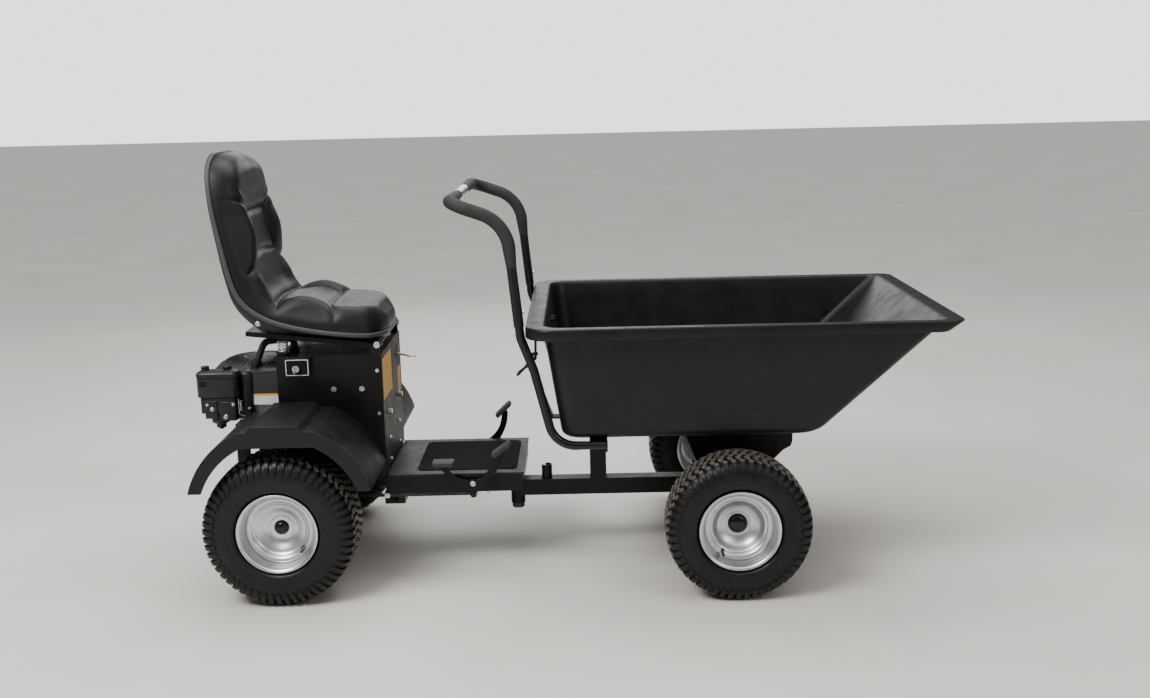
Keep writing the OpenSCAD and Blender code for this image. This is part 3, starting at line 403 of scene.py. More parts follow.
def turned(profile, closed, steps, side):
    """Turns (axial, radial) points about the wheel's axle. Axial distances point away from the machine."""
    prof = np.asarray(profile, float)
    angle = np.linspace(0, 2 * math.pi, steps, endpoint=False)
    y = np.tile(prof[:, 0] * side, (steps, 1))
    x = np.sin(angle)[:, None] * prof[:, 1]
    z = np.cos(angle)[:, None] * prof[:, 1]
    verts = np.stack([x, y, z], -1).reshape(-1, 3)
    faces = grid_faces(steps, len(prof), wrap_rows=True, wrap_cols=closed, flip=side > 0)
    return verts, faces if closed else faces + end_caps(steps, len(prof))


def pipe_path(points, bends, step=0.004):
    """Points along straight runs joined by round bends, in metres."""
    p = [np.array(q, float) for q in points]
    out = [p[0]]
    for i in range(1, len(p) - 1):
        a, b = p[i - 1] - p[i], p[i + 1] - p[i]
        a, b = a / np.linalg.norm(a), b / np.linalg.norm(b)
        half = math.acos(max(-1, min(1, float(a @ b)))) / 2
        cut = bends[i - 1] / math.tan(half)
        start = p[i] + a * cut
        centre = p[i] + (a + b) / np.linalg.norm(a + b) * bends[i - 1] / math.sin(half)
        turn = math.pi - 2 * half
        count = max(4, int(bends[i - 1] * turn / step))
        u = (start - centre) / bends[i - 1]
        w = -a - u * float(-a @ u)
        w /= np.linalg.norm(w)
        out += [centre + bends[i - 1] * (u * math.cos(t) + w * math.sin(t))
                for t in np.linspace(0, turn, count)]
    out.append(p[-1])
    return np.array(out)


def swept(path, radius, sides):
    """Tube mesh along a path, closed at both ends. radius is a number or one for each point."""
    path = np.asarray(path, float)
    n = len(path)
    r = np.broadcast_to(radius, (n,))
    tangent = np.gradient(path, axis=0)
    tangent /= np.linalg.norm(tangent, axis=1)[:, None]
    ref = np.array([0.0, 0, 1]) if abs(tangent[0][2]) < 0.8 else np.array([1.0, 0, 0])
    rows = []
    for k in range(n):
        ref = ref - tangent[k] * float(ref @ tangent[k])
        ref /= np.linalg.norm(ref)
        other = np.cross(tangent[k], ref)
        a = np.linspace(0, 2 * math.pi, sides, endpoint=False)
        rows.append(path[k] + r[k] * (np.cos(a)[:, None] * ref + np.sin(a)[:, None] * other))
    verts = np.concatenate(rows)
    faces = grid_faces(n, sides, wrap_cols=True)
    faces += [list(range(sides))[::-1], list(range((n - 1) * sides, n * sides))]
    return verts, faces


def rounded_ends(path, radius, ease):
    """Radii that round both ends of a sleeve off over a short length."""
    run = lengths(path)
    edge = np.minimum(run, run[-1] - run)
    t = np.clip(edge / ease, 0, 1)
    return radius - ease * (1 - np.sqrt(1 - (1 - t) ** 2))


def bar_faces(rows, cols):
    """Closed bar: a grid wrapped round, with both ends filled."""
    ends = [list(range(cols)), list(range((rows - 1) * cols, rows * cols))]
    return grid_faces(rows, cols, wrap_cols=True) + ends


def plate(outline, thickness, axes, edge):
    """Flat plate with chamfered edges. axes gives origin, two in-plane axes and the outward normal."""
    o, ax, ay, an = (np.array(v, float) for v in axes)
    pts = np.asarray(outline, float)
    middle = pts.mean(0)
    rings = []
    for inset, height in ((0, 0), (0, thickness - edge), (edge, thickness)):
        d = pts - middle
        length = np.linalg.norm(d, axis=1)[:, None]
        q = middle + d * (1 - inset / length)
        rings.append(o + q[:, :1] * ax + q[:, 1:] * ay + height * an)
    n = len(pts)
    verts = np.concatenate(rings)
    faces = grid_faces(3, n, wrap_cols=True) + [list(range(n)), list(range(2 * n, 3 * n))]
    return verts, faces


def round_box_outline(x0, y0, x1, y1, r):
    out = []
    n = CORNER_STEPS
    for cx, cy, a0 in ((x1 - r, y1 - r, 0), (x0 + r, y1 - r, 90), (x0 + r, y0 + r, 180),
                       (x1 - r, y0 + r, 270)):
        for k in range(n + 1):
            a = math.radians(a0 + 90 * k / n)
            out.append((cx + r * math.cos(a), cy + r * math.sin(a)))
    return np.array(out)


def merged(parts):
    """Joins several (verts, faces) into one."""
    verts, faces, start = [], [], 0
    for v, f in parts:
        verts.append(np.asarray(v, float))
        faces += [[i + start for i in q] for q in f]
        start += len(v)
    return np.concatenate(verts), faces


# ---------------------------------------------------------------- wheels

TREAD_DEPTH = 0.0075


def tyre(name, side, kind, radius, width, rim_width, lugs, body):
    """Turf tyre: turned carcass, shoulder bars that wrap onto the sidewall, staggered blocks between."""
    lo, hi = corner_box(f"{kind}_tyre_{name}")
    centre = (lo + hi) / 2
    half, bead = width / 2, rim_width / 2
    depth = TREAD_DEPTH
    profile = [(0, radius - depth), (0.45 * half, radius - depth - 0.001),
               (0.72 * half, radius - depth - 0.005), (0.88 * half, radius - 0.025),
               (0.965 * half, radius - 0.044), (0.992 * half, radius - 0.062), (0.975 * half, radius - 0.079),
               (0.5 * (half + bead), 0.1245), (bead - 0.0065, 0.1165), (bead - 0.009, 0.112),
               (bead - 0.0115, 0.107)]
    line = spline(profile, 160)
    run = lengths(line)
    tangent = np.gradient(line, axis=0)
    tangent /= np.linalg.norm(tangent, axis=1)[:, None]
    normal = np.stack([-tangent[:, 1], tangent[:, 0]], 1)
    raised = np.zeros(len(line))
    for at, rib in ((run[-1] - 0.018, 0.0007), (run[-1] - 0.0055, 0.0009)):
        raised += rib * np.exp(-((run - at) / 0.0012) ** 2)
    smooth = line + normal * raised[:, None]
    both = np.vstack([smooth[::-1] * (-1, 1), smooth[1:]])
    verts, faces = turned(both, True, 200, side)
    dust = [0.0] * len(verts)
    parts = [(verts, faces)]

    def bar(side_sign, t0, t1, start, lean, wave, wide, taper):
        """Adds one raised bar between two distances from the crown, at angle start."""
        count = max(4, int((t1 - t0) / 0.005) + 1)
        t = np.linspace(t0, t1, count)
        t = np.r_[t0, t, t1]
        s = np.interp(np.abs(t), run, line[:, 0]) * np.sign(t if t0 < 0 < t1 else side_sign)
        rho = np.interp(np.abs(t), run, line[:, 1])
        ns = np.interp(np.abs(t), run, normal[:, 0]) * np.sign(t if t0 < 0 < t1 else side_sign)
        nr = np.interp(np.abs(t), run, normal[:, 1])
        share = (t - t0) / (t1 - t0)
        mid = start + lean * share + wave * np.sin(2 * math.pi * share)
        w = np.full(len(t), wide)
        if taper:
            w *= np.sqrt(np.clip(1 - np.clip((t - (t1 - taper)) / taper, 0, 0.98) ** 2, 0.02, 1))
        h = np.full(len(t), depth)
        if taper:
            h *= np.interp(share, [0, 0.5, 1], [1, 0.9, 0.5])
        h[[0, -1]] = -0.002
        rows = []
        across = ((-1.0, -0.002, 0), (-0.94, 0.72, 1), (-0.76, 1.0, 1), (0, 1.0, 1), (0.76, 1.0, 1),
                  (0.94, 0.72, 1), (1.0, -0.002, 0))
        for k in range(len(t)):
            for column, share_h, kind_h in across:
                hh = (h[k] * share_h if h[k] > 0 else -0.001) if kind_h else -0.002
                phi = mid[k] + column * w[k]
                ss, rr = s[k] + ns[k] * hh, rho[k] + nr[k] * hh
                rows.append((rr * math.sin(phi), ss * side, rr * math.cos(phi)))
                worn = share_h == 1.0 and abs(t[k]) < 0.75 * half and 0 < k < len(t) - 1
                dust.append(float(worn))
        parts.append((np.array(rows), bar_faces(len(t), len(across))))

    pitch = 2 * math.pi / lugs
    wide, wave = 0.33 * pitch, 0.03 * pitch
    shoulder = 0.64 * half
    reach = 0.047 if kind == "rear" else 0.038
    for k in range(lugs):
        a = k * pitch
        for sign in (-1, 1):
            lean = sign * 0.25 * pitch
            bar(sign, shoulder, shoulder + reach, a + lean, 0, 0, wide, 0.010)
            bar(sign, 0.36 * half, 0.60 * half, a + (0.25 * sign + 0.5) * pitch, lean, wave, wide, 0)
            bar(sign, 0.11 * half, 0.33 * half, a + 0.25 * sign * pitch, -lean, wave, wide, 0)
        bar(1, -0.08 * half, 0.08 * half, a + 0.5 * pitch, 0.2 * pitch, 0, 0.3 * pitch, 0)
    verts, faces = merged(parts)
    obj = add_piece(f"{kind}_tread_{name}", (verts + centre, faces), "tyre_rubber", body,
                    replaces=[f"{kind}_tyre_{name}"], origin=centre, sharp=50)
    store = obj.data.attributes.new("dust", "FLOAT", "POINT")
    store.data.foreach_set("value", np.array(dust, np.float32))


RIM_RADIUS = 0.114  # over the flanges
HUB_RADIUS = 0.0325


def rim(name, side, kind, width, dish, bore_r, rim_y, body):
    """Pressed zinc rim: rolled flanges, stepped well, dished disc, hub tube and a rubber valve."""
    lo, hi = corner_box(f"{kind}_tyre_{name}")
    centre = (lo + hi) / 2
    face = abs(rim_y) - abs(centre[1])
    half, hub_r = RIM_RADIUS, HUB_RADIUS
    barrel = [(0.0005, half - 0.001), (-0.0035, half), (-0.0065, half - 0.003), (-0.009, half - 0.0075),
              (-0.024, half - 0.0085), (-0.030, half - 0.011), (-0.036, half - 0.0165),
              (-width + 0.036, half - 0.0165), (-width + 0.030, half - 0.011),
              (-width + 0.024, half - 0.0085), (-width + 0.009, half - 0.0075),
              (-width + 0.0065, half - 0.003), (-width + 0.0035, half), (-width, half - 0.001),
              (-width + 0.001, half - 0.005), (-width + 0.006, half - 0.0115),
              (-width + 0.023, half - 0.0125), (-width + 0.031, half - 0.0185), (-0.031, half - 0.0185),
              (-0.023, half - 0.0125), (-0.006, half - 0.0115), (-0.001, half - 0.005)]
    verts, faces = turned(softened(barrel, True, 2), True, 144, side)
    parts = [(verts, faces)]
    disc = [(-0.040, 0.0955), (-0.0375, 0.092), (-0.037, 0.086), (-0.041, 0.0805), (-0.0445, 0.079),
            (-0.046, 0.0745), (-0.050, 0.071), (-dish + 0.012, 0.061), (-dish + 0.003, 0.046),
            (-dish, hub_r + 0.004), (-dish, hub_r + 0.0025), (-dish + 0.0015, hub_r + 0.001),
            (-dish + 0.0015, hub_r - 0.003), (-dish + 0.0005, bore_r + 0.001)]
    front = softened(disc, False, 2)
    back = front[::-1] - (0.0035, 0)
    parts.append(turned(np.vstack([front, back]), True, 144, side))
    tube = [(-dish, bore_r), (-dish + 0.002, bore_r + 0.0015), (-dish + 0.002, hub_r - 0.002), (-dish, hub_r),
            (-0.148, hub_r), (-0.150, hub_r - 0.002), (-0.150, bore_r + 0.0015), (-0.148, bore_r)]
    parts.append(turned(softened(tube, True, 1), True, 96, side))
    verts, faces = merged(parts)
    verts[:, 1] += side * face
    add_piece(f"{kind}_wheel_disc_{name}", (verts + centre, faces), "rim_zinc", body,
              replaces=[f"{kind}_rim_{name}"], origin=centre, sharp=35)
    # valve: rubber foot, stem with a waist and a cap
    stem = [(-0.045, 0.0002), (-0.045, 0.0075), (-0.042, 0.0078), (-0.040, 0.0055), (-0.028, 0.0048),
            (-0.020, 0.0042), (-0.019, 0.0033), (-0.0175, 0.0033), (-0.017, 0.0045), (-0.009, 0.0044),
            (-0.0075, 0.0035), (-0.0075, 0.0002)]
    v, f = turned(softened(stem, False, 1), False, 24, side)
    v[:, 1] += side * face
    a = math.radians(130 if kind == "rear" else 214)
    v += np.array((0.0835 * math.sin(a), 0, 0.0835 * math.cos(a)))
    add_piece(f"{kind}_valve_{name}", (v + centre, f), "cap_plastic", body, origin=centre)


def hub_cap(name, side, kind, radius, body):
    node = f"{kind}_hub_cap_{name}"
    lo, hi = corner_box(node)
    centre = (lo + hi) / 2
    inner = min(abs(lo[1]), abs(hi[1])) - abs(centre[1])
    dome = [(inner + 0.0005, 0.0004), (inner + 0.0005, radius - 0.001), (inner + 0.0015, radius),
            (inner + 0.006, radius), (inner + 0.0075, radius - 0.0015)]
    dome += [(inner + 0.0075 + 0.0115 * math.sin(t), (radius - 0.002) * math.cos(t))
             for t in np.linspace(0.12, math.pi / 2 - 0.02, 12)]
    v, f = turned(dome, False, 64, side)
    add_piece(f"{kind}_cap_dome_{name}", (v + centre, f), "cap_plastic", body, replaces=[node], origin=centre,
              sharp=45)


def make_wheels():
    for name, side in SIDES:
        tyre(name, side, "front", radius=0.204, width=0.165, rim_width=0.146, lugs=52,
             body=f"front_wheel_{name}")
        tyre(name, side, "rear", radius=0.2164, width=0.186, rim_width=0.174, lugs=56,
             body=f"rear_wheel_{name}")
        rim(name, side, "front", width=0.146, dish=0.076, bore_r=0.0222, rim_y=0.488,
            body=f"front_wheel_{name}")
        rim(name, side, "rear", width=0.174, dish=0.066, bore_r=0.0127, rim_y=0.468,
            body=f"rear_wheel_{name}")
        for kind in ("front", "rear"):
            lo, hi = corner_box(f"{kind}_hub_cap_{name}")
            hub_cap(name, side, kind, (hi[0] - lo[0]) / 2, f"{kind}_wheel_{name}")


# ---------------------------------------------------------------- tub

TUB_STEPS = 10  # points along each corner and each side of the outline
TUB_WALL = 0.006


def loop(back, front, half_back, half_front, r_back, r_front, z):
    """Level rounded outline of the tub, always with the same number of points."""
    corners = ((front, half_front, r_front, 0), (back, half_back, r_back, 90),
               (back, -half_back, r_back, 180), (front, -half_front, r_front, 270))
    n = m = TUB_STEPS
    out = []
    for x, y, r, a0 in corners:
        cx, cy = x - math.copysign(r, 1 if a0 in (0, 270) else -1), y - math.copysign(r, y)
        for k in range(n + 1):
            a = math.radians(a0 + 90 * k / n)
            out.append((cx + r * math.cos(a), cy + r * math.sin(a)))
    pts = []
    total = len(out)
    for k in range(total):
        p, q = np.array(out[k]), np.array(out[(k + 1) % total])
        pts.append(p)
        if (k + 1) % (n + 1) == 0:
            pts += [p + (q - p) * j / m for j in range(1, m)]
    return np.array([(p[0], p[1], z) for p in pts])


def make_tub():
    """Moulded tub: rounded floor, sloping walls and front, ledge round the rim and a turned-down skirt."""
    lo, hi = corner_box("tub")
    floor, top = lo[2], hi[2]

    def wall(z, inset, ease=0.0):
        k = (z - floor) / (top - floor)
        half = 0.398 + 0.042 * k - inset - ease
        return loop(-0.014 - 0.048 * k + inset + ease, 0.695 + 0.345 * k - inset - ease, half, half,
                    0.04 + 0.016 * k - inset * 0.4, 0.04 - 0.008 * k - inset * 0.4, z)

    def brim(z, inset, cut):
        return loop(lo[0] + inset, hi[0] - inset - cut, hi[1] - inset, hi[1] - 0.015 - inset,
                    0.08 - inset * 0.6, 0.036 - inset * 0.5, z)

    loops = [loop(0.3, 0.36, 0.03, 0.03, 0.02, 0.02, floor + TUB_WALL),
             loop(0.12, 0.55, 0.24, 0.24, 0.03, 0.03, floor + TUB_WALL)]
    r = 0.018
    for t in np.linspace(0, math.pi / 2, 7):
        loops.append(wall(floor + TUB_WALL + r * (1 - math.cos(t)), TUB_WALL, r * (1 - math.sin(t))))
    for z in np.linspace(floor + 0.06, top - 0.012, 8):
        loops.append(wall(z, TUB_WALL))
    loops += [wall(top - 0.004, 0.0045), wall(top - 0.0005, 0.0005), wall(top, -0.004)]
    loops += [brim(top - down, inset, cut) for down, inset, cut in (
        (0, 0.006, 0), (0.001, 0.002, 0), (0.005, 0.0003, 0.003), (0.028, 0, 0.036), (0.0315, 0.001, 0.041),
        (0.032, 0.003, 0.043), (0.0315, 0.005, 0.044), (0.029, 0.006, 0.044), (0.009, 0.006, 0.014),
        (0.006, 0.009, 0.008))]
    loops += [wall(top - 0.006, -0.003), wall(top - 0.009, 0)]
    for z in np.linspace(top - 0.02, floor + 0.06, 8):
        loops.append(wall(z, 0))
    for t in np.linspace(math.pi / 2, 0, 7):
        loops.append(wall(floor + 0.024 * (1 - math.cos(t)), 0, 0.024 * (1 - math.sin(t))))
    loops += [loop(0.12, 0.55, 0.24, 0.24, 0.03, 0.03, floor), loop(0.3, 0.36, 0.03, 0.03, 0.02, 0.02, floor)]
    count = len(loops[0])
    verts = np.concatenate(loops)
    faces = grid_faces(len(loops), count, wrap_cols=True, flip=True)
    faces += [list(range(count)), list(range(len(verts) - count, len(verts)))[::-1]]
    add_piece("tub_shell", (verts, faces), "tub_plastic", "tub", replaces=["tub"], sharp=60)


# ---------------------------------------------------------------- seat

# edge between cushion and shell as (x, z) from the cushion's lower front corner, front to top,
# and what lies on each side of it as (distance along the edge, depth)
SEAT_EDGE = [(-0.003, 0), (-0.060, 0.005), (-0.176, 0.021), (-0.266, 0.040), (-0.336, 0.065), (-0.390, 0.105),
             (-0.420, 0.162), (-0.447, 0.282), (-0.467, 0.392), (-0.478, 0.510), (-0.479, 0.528)]
PAD_DEPTH = [(0, 0.066), (0.05, 0.076), (0.12, 0.074), (0.19, 0.062), (0.26, 0.060), (0.34, 0.040),
             (0.40, 0.050), (0.48, 0.062), (0.54, 0.056), (0.60, 0.058), (0.66, 0.056), (0.73, 0.074),
             (0.80, 0.076), (0.86, 0.070)]
SHELL_DEPTH = [(0, 0.013), (0.06, 0.013), (0.17, 0.016), (0.26, 0.024), (0.34, 0.044), (0.40, 0.035),
               (0.47, 0.024), (0.60, 0.019), (0.71, 0.016), (0.86, 0.013)]
VALLEY_DEPTH, VALLEY_WIDTH = 0.0065, 0.013
STITCH_DEPTH, STITCH_WIDTH = 0.004, 0.0042
# sewn lines as (distance from the front along the edge, share of the half width)
SEAMS = [[(0.187, 0), (0.180, 0.50), (0.168, 0.70), (0.148, 0.90)],
         [(0.180, 0.50), (0.22, 0.57), (0.27, 0.59), (0.31, 0.56), (0.342, 0.50)],
         [(0.350, 0), (0.342, 0.50), (0.334, 0.70), (0.322, 0.92)],
         [(0.545, 0), (0.536, 0.50)],
         [(0.488, 0.90), (0.505, 0.72), (0.536, 0.53), (0.570, 0.49), (0.620, 0.47), (0.662, 0.50),
          (0.690, 0.68), (0.715, 0.92)],
         [(0.662, 0), (0.662, 0.50)]]


class SeatForm:
    """The seat's curved edge line in side view, and points laid out along it."""

    def __init__(self):
        lo, hi = corner_box("seat_cushion")
        edge = np.array(SEAT_EDGE) + (hi[0], lo[2])
        self.line = spline(edge, 400)
        self.run = lengths(self.line)
        tangent = np.gradient(self.line, axis=0)
        tangent /= np.linalg.norm(tangent, axis=1)[:, None]
        for _ in range(30):
            tangent[1:-1] = (tangent[:-2] + tangent[1:-1] * 2 + tangent[2:]) / 4
        self.tangent = tangent / np.linalg.norm(tangent, axis=1)[:, None]
        self.length, self.half = self.run[-1], hi[1]

    def at(self, along, y, height):
        """Point at a distance along the edge line, sideways y, and height over it."""
        x, z = (np.interp(along, self.run, self.line[:, k]) for k in (0, 1))
        tx, tz = (np.interp(along, self.run, self.tangent[:, k]) for k in (0, 1))
        return np.stack([x + tz * height, y, z - tx * height], -1)

    def layout(self, rows, cols):
        """Grid over a rounded oblong: place along, sideways, and distance to its ends and sides."""
        t = np.linspace(-1, 1, rows)
        u = 0.6 * t + 0.4 * np.sin(t * math.pi / 2)
        t = np.linspace(-1, 1, cols)
        v = 0.35 * t + 0.65 * np.sin(t * math.pi / 2)
        u, v = np.meshgrid(u, v, indexing="ij")
        power = 3
        cut = 1 - np.abs(u * v) ** power / (2 * power + 1)
        along, sideways = (1 + u * cut) * self.length / 2, v * cut * self.half
        return along, sideways, (1 - np.abs(u)) * self.length / 2, (1 - np.abs(v)) * self.half


EDGE_ROUNDING = [(0, 0.060), (0.12, 0.056), (0.25, 0.062), (0.34, 0.050), (0.48, 0.054), (0.60, 0.066),
                 (0.73, 0.060), (0.86, 0.070)]


def outline_of(layout):
    """The border of a grid layout as one closed line of (along, sideways) points."""
    edges = (np.s_[0, :-1], np.s_[:-1, -1], np.s_[-1, :0:-1], np.s_[:0:-1, 0])
    return np.concatenate([np.stack([layout[0][e], layout[1][e]], -1) for e in edges])


def rounded(distance, radius):
    return np.sqrt(1 - (1 - np.clip(distance / radius, 0, 1)) ** 2)


def distance_to(points, line):
    best = np.full(points.shape[:-1], 9.0)
    for a, b in zip(line[:-1], line[1:]):
        ab = b - a
        t = np.clip(((points - a) @ ab) / (ab @ ab), 0, 1)
        best = np.minimum(best, np.linalg.norm(points - (a + t[..., None] * ab), axis=-1))
    return best


def hump(x, start, stop):
    t = np.clip((x - start) / (stop - start), 0, 1)
    return np.sin(math.pi * t) ** 1.2


def eased(table, at):
    """Reads a table of (distance, value) as one smooth line."""
    line = np.linspace(-0.1, 1.0, 551)
    values = np.interp(line, *np.array(table).T)
    kernel = np.exp(-((np.arange(-20, 21) * 0.002) / 0.016) ** 2)
    values = np.convolve(np.pad(values, 20, "edge"), kernel / kernel.sum(), "valid")
    return np.interp(at, line, values)


def pad_height(form, grid, sharp):
    """Height of the cushion's upper face: crown, side bolsters, sewn valleys."""
    along, y = grid[:2]
    share = np.abs(y) / form.half
    height = eased(PAD_DEPTH, along)
    height = height + 0.030 * hump(along, 0.475, 0.735) * np.exp(-((share - 0.74) / 0.26) ** 2)
    height += 0.024 * hump(along, 0.140, 0.345) * np.exp(-((share - 0.76) / 0.24) ** 2)
    height += 0.016 * hump(along, 0.33, 0.50) * np.exp(-((share - 0.82) / 0.22) ** 2)
    ends = np.clip((along - 0.66) / 0.04, 0, 1) + np.clip((0.18 - along) / 0.04, 0, 1)
    height += 0.006 * (1 - share**2) * ends
    flat = np.stack([along, np.abs(y)], -1)
    near = np.full(along.shape, 9.0)
    for seam in SEAMS:
        line = np.array(seam) * (1, form.half)
        near = np.minimum(near, distance_to(flat, spline(line, 24) if len(line) > 2 else line))
    height -= VALLEY_DEPTH * np.exp(-(near / VALLEY_WIDTH) ** 2)
    if sharp:
        height -= STITCH_DEPTH * np.exp(-(near / STITCH_WIDTH) ** 2)
    border = outline_of(form.layout(60, 34))
    inset = distance_to(np.stack([along, y], -1), np.vstack([border, border[:1]]))
    return height * rounded(inset, eased(EDGE_ROUNDING, along)), near


CLOTH_FRAMES = 20
SWELL_LIMIT = 0.006
COVER_GRID, PAD_GRID, PAN_GRID, BAND_GRID = (122, 74), (260, 150), (90, 60), (200, 110)


def swell(form, rows, cols):
    """Cloth run of the cushion's cover, blown up a little between its sewn lines.

    Returns how far each point moved."""
    grid = form.layout(rows, cols)
    height, near = pad_height(form, grid, False)
    start = form.at(grid[0], grid[1], height)
    mesh = bpy.data.meshes.new("cover_run")
    mesh.from_pydata(start.reshape(-1, 3).tolist(), [], grid_faces(rows, cols, flip=True))
    cover = link("cover_run", mesh)
    held = cover.vertex_groups.new(name="held")
    edge = np.minimum(grid[2], grid[3]) < 0.002
    fixed = np.flatnonzero(((near < 0.0045) | edge).reshape(-1))
    held.add(fixed.tolist(), 1.0, "REPLACE")
    cloth = cover.modifiers.new("cloth", "CLOTH")
    values = cloth.settings
    values.quality, values.mass = 5, 0.25
    values.tension_stiffness = values.compression_stiffness = 40
    values.shear_stiffness, values.bending_stiffness = 20, 4
    values.vertex_group_mass = "held"
    values.use_pressure, values.uniform_pressure_force = True, 4
    values.effector_weights.gravity = 0
    cloth.point_cache.frame_start, cloth.point_cache.frame_end = 1, CLOTH_FRAMES
    for number in range(1, CLOTH_FRAMES + 1):
        bpy.context.scene.frame_set(number)
    result = cover.evaluated_get(bpy.context.evaluated_depsgraph_get())
    moved = np.array([v.co for v in result.data.vertices]).reshape(start.shape) - start
    bpy.context.scene.frame_set(1)
    bpy.data.objects.remove(cover)
    size = np.maximum(np.linalg.norm(moved, axis=-1, keepdims=True), 1e-9)
    return moved * SWELL_LIMIT * np.tanh(size / SWELL_LIMIT) / size


def finer(field, rows, cols):
    """Resamples a grid of vectors on a finer grid."""
    a, b = field.shape[:2]
    at = np.linspace(0, a - 1, rows)
    tall = np.stack([[np.interp(at, np.arange(a), field[:, j, k]) for j in range(b)] for k in range(3)], -1)
    at = np.linspace(0, b - 1, cols)
    fine = np.stack([[np.interp(at, np.arange(b), tall[:, i, k]) for i in range(rows)] for k in range(3)], -1)
    for _ in range(8):
        fine[1:-1, 1:-1] = (fine[:-2, 1:-1] + fine[2:, 1:-1] + fine[1:-1, :-2] + fine[1:-1, 2:]) / 4
    return fine


def closed_grid(top, bottom):
    """Joins two grids that share their border into one closed mesh."""
    rows, cols = top.shape[:2]
    verts = np.concatenate([top.reshape(-1, 3), bottom.reshape(-1, 3)])
    faces = grid_faces(rows, cols, flip=True)
    inner = np.arange(rows * cols).reshape(rows, cols) + rows * cols
    for edge in (np.s_[0, :], np.s_[-1, :], np.s_[:, 0], np.s_[:, -1]):
        inner[edge] = np.arange(rows * cols).reshape(rows, cols)[edge]
    for i in range(rows - 1):
        for j in range(cols - 1):
            faces.append([inner[i, j], inner[i, j + 1], inner[i + 1, j + 1], inner[i + 1, j]])
    used = np.unique(np.concatenate([np.array(faces).reshape(-1)]))
    remap = np.full(len(verts), -1)
    remap[used] = np.arange(len(used))
    return verts[used], remap[np.array(faces)].tolist()


def make_seat():
    form = SeatForm()
    moved = swell(form, *COVER_GRID)
    rows, cols = PAD_GRID
    grid = form.layout(rows, cols)
    height, _ = pad_height(form, grid, True)
    top = form.at(grid[0], grid[1], height) + finer(moved, rows, cols)
    bottom = form.at(grid[0], grid[1], np.zeros_like(height))
    top[:, :, 1] = np.clip(top[:, :, 1], -form.half - 0.007, form.half + 0.007)
    cushion = add_piece("seat_pad", closed_grid(top, bottom), "seat_vinyl", "seat", replaces=["seat_cushion"],
                        sharp=80)

    grid = form.layout(*PAN_GRID)
    depth = np.interp(grid[0], *np.array(SHELL_DEPTH).T) * rounded(grid[3], 0.016) * rounded(grid[2], 0.016)
    inside = form.at(grid[0], grid[1], np.full(depth.shape, -0.0005))
    outside = form.at(grid[0], grid[1], -depth - 0.0005)
    add_piece("seat_pan", closed_grid(inside, outside), "shell_plastic", "seat", replaces=["seat_shell"],
              sharp=50)

    border = form.layout(*BAND_GRID)
    ring = outline_of(border)
    way = np.roll(ring, -1, 0) - np.roll(ring, 1, 0)
    way /= np.linalg.norm(way, axis=1)[:, None]
    out = np.stack([way[:, 1], -way[:, 0]], 1)
    if (out[0] @ (ring[0] - ring.mean(0))) < 0:
        out = -out
    section = [(-0.004, 0.001), (0.001, 0.0022), (0.0045, 0.001), (0.0062, -0.002), (0.0066, -0.0065),
               (0.0058, -0.0105), (0.003, -0.0125), (-0.004, -0.013)]
    section = softened(section, True, 1)
    rows = [form.at(ring[:, 0] + out[:, 0] * o, ring[:, 1] + out[:, 1] * o, h) for o, h in section]
    verts = np.concatenate(rows)
    faces = grid_faces(len(section), len(ring), wrap_rows=True, wrap_cols=True)
    add_piece("seat_trim_band", (verts, faces), "seat_trim", "seat", "shell_plastic", sharp=60)
    for name, side in SIDES:
        v, f = domed_bolt(0.0065, 0.003)
        spot = form.at(np.array(0.352), np.array(side * (form.half - 0.0045)), np.array(-0.026))
        v = np.stack([v[:, 0], v[:, 1] * side, v[:, 2]], -1)
        add_piece(f"seat_pan_bolt_{name}", (v + spot, f if side < 0 else [q[::-1] for q in f]), "zinc_bolts",
                  "seat", origin=spot)


def domed_bolt(radius, height):
    """Low round head on a thin washer, its axis along Y and its face at positive Y."""
    outline = [(-0.002, 0.0002), (-0.002, radius * 1.35), (0.0004, radius * 1.35), (0.0006, radius * 1.3),
               (0.0006, radius)]
    outline += [(0.0006 + height * math.sin(t), radius * math.cos(t) + 0.0002)
                for t in np.linspace(0.2, math.pi / 2, 6)]
    return turned(outline, False, 24, 1)


# ---------------------------------------------------------------- handles, hose, springs

HANDLE_Y = 0.4
SIDE_TUBE, LOOP_TUBE, SLEEVE, GRIP = 0.0125, 0.014, 0.0147, 0.018  # radii


def mirrored(points):
    """The line and its mirror image, joined end to end."""
    pts = np.array(points, float)
    return np.vstack([pts, pts[::-1] * (1, -1, 1)])


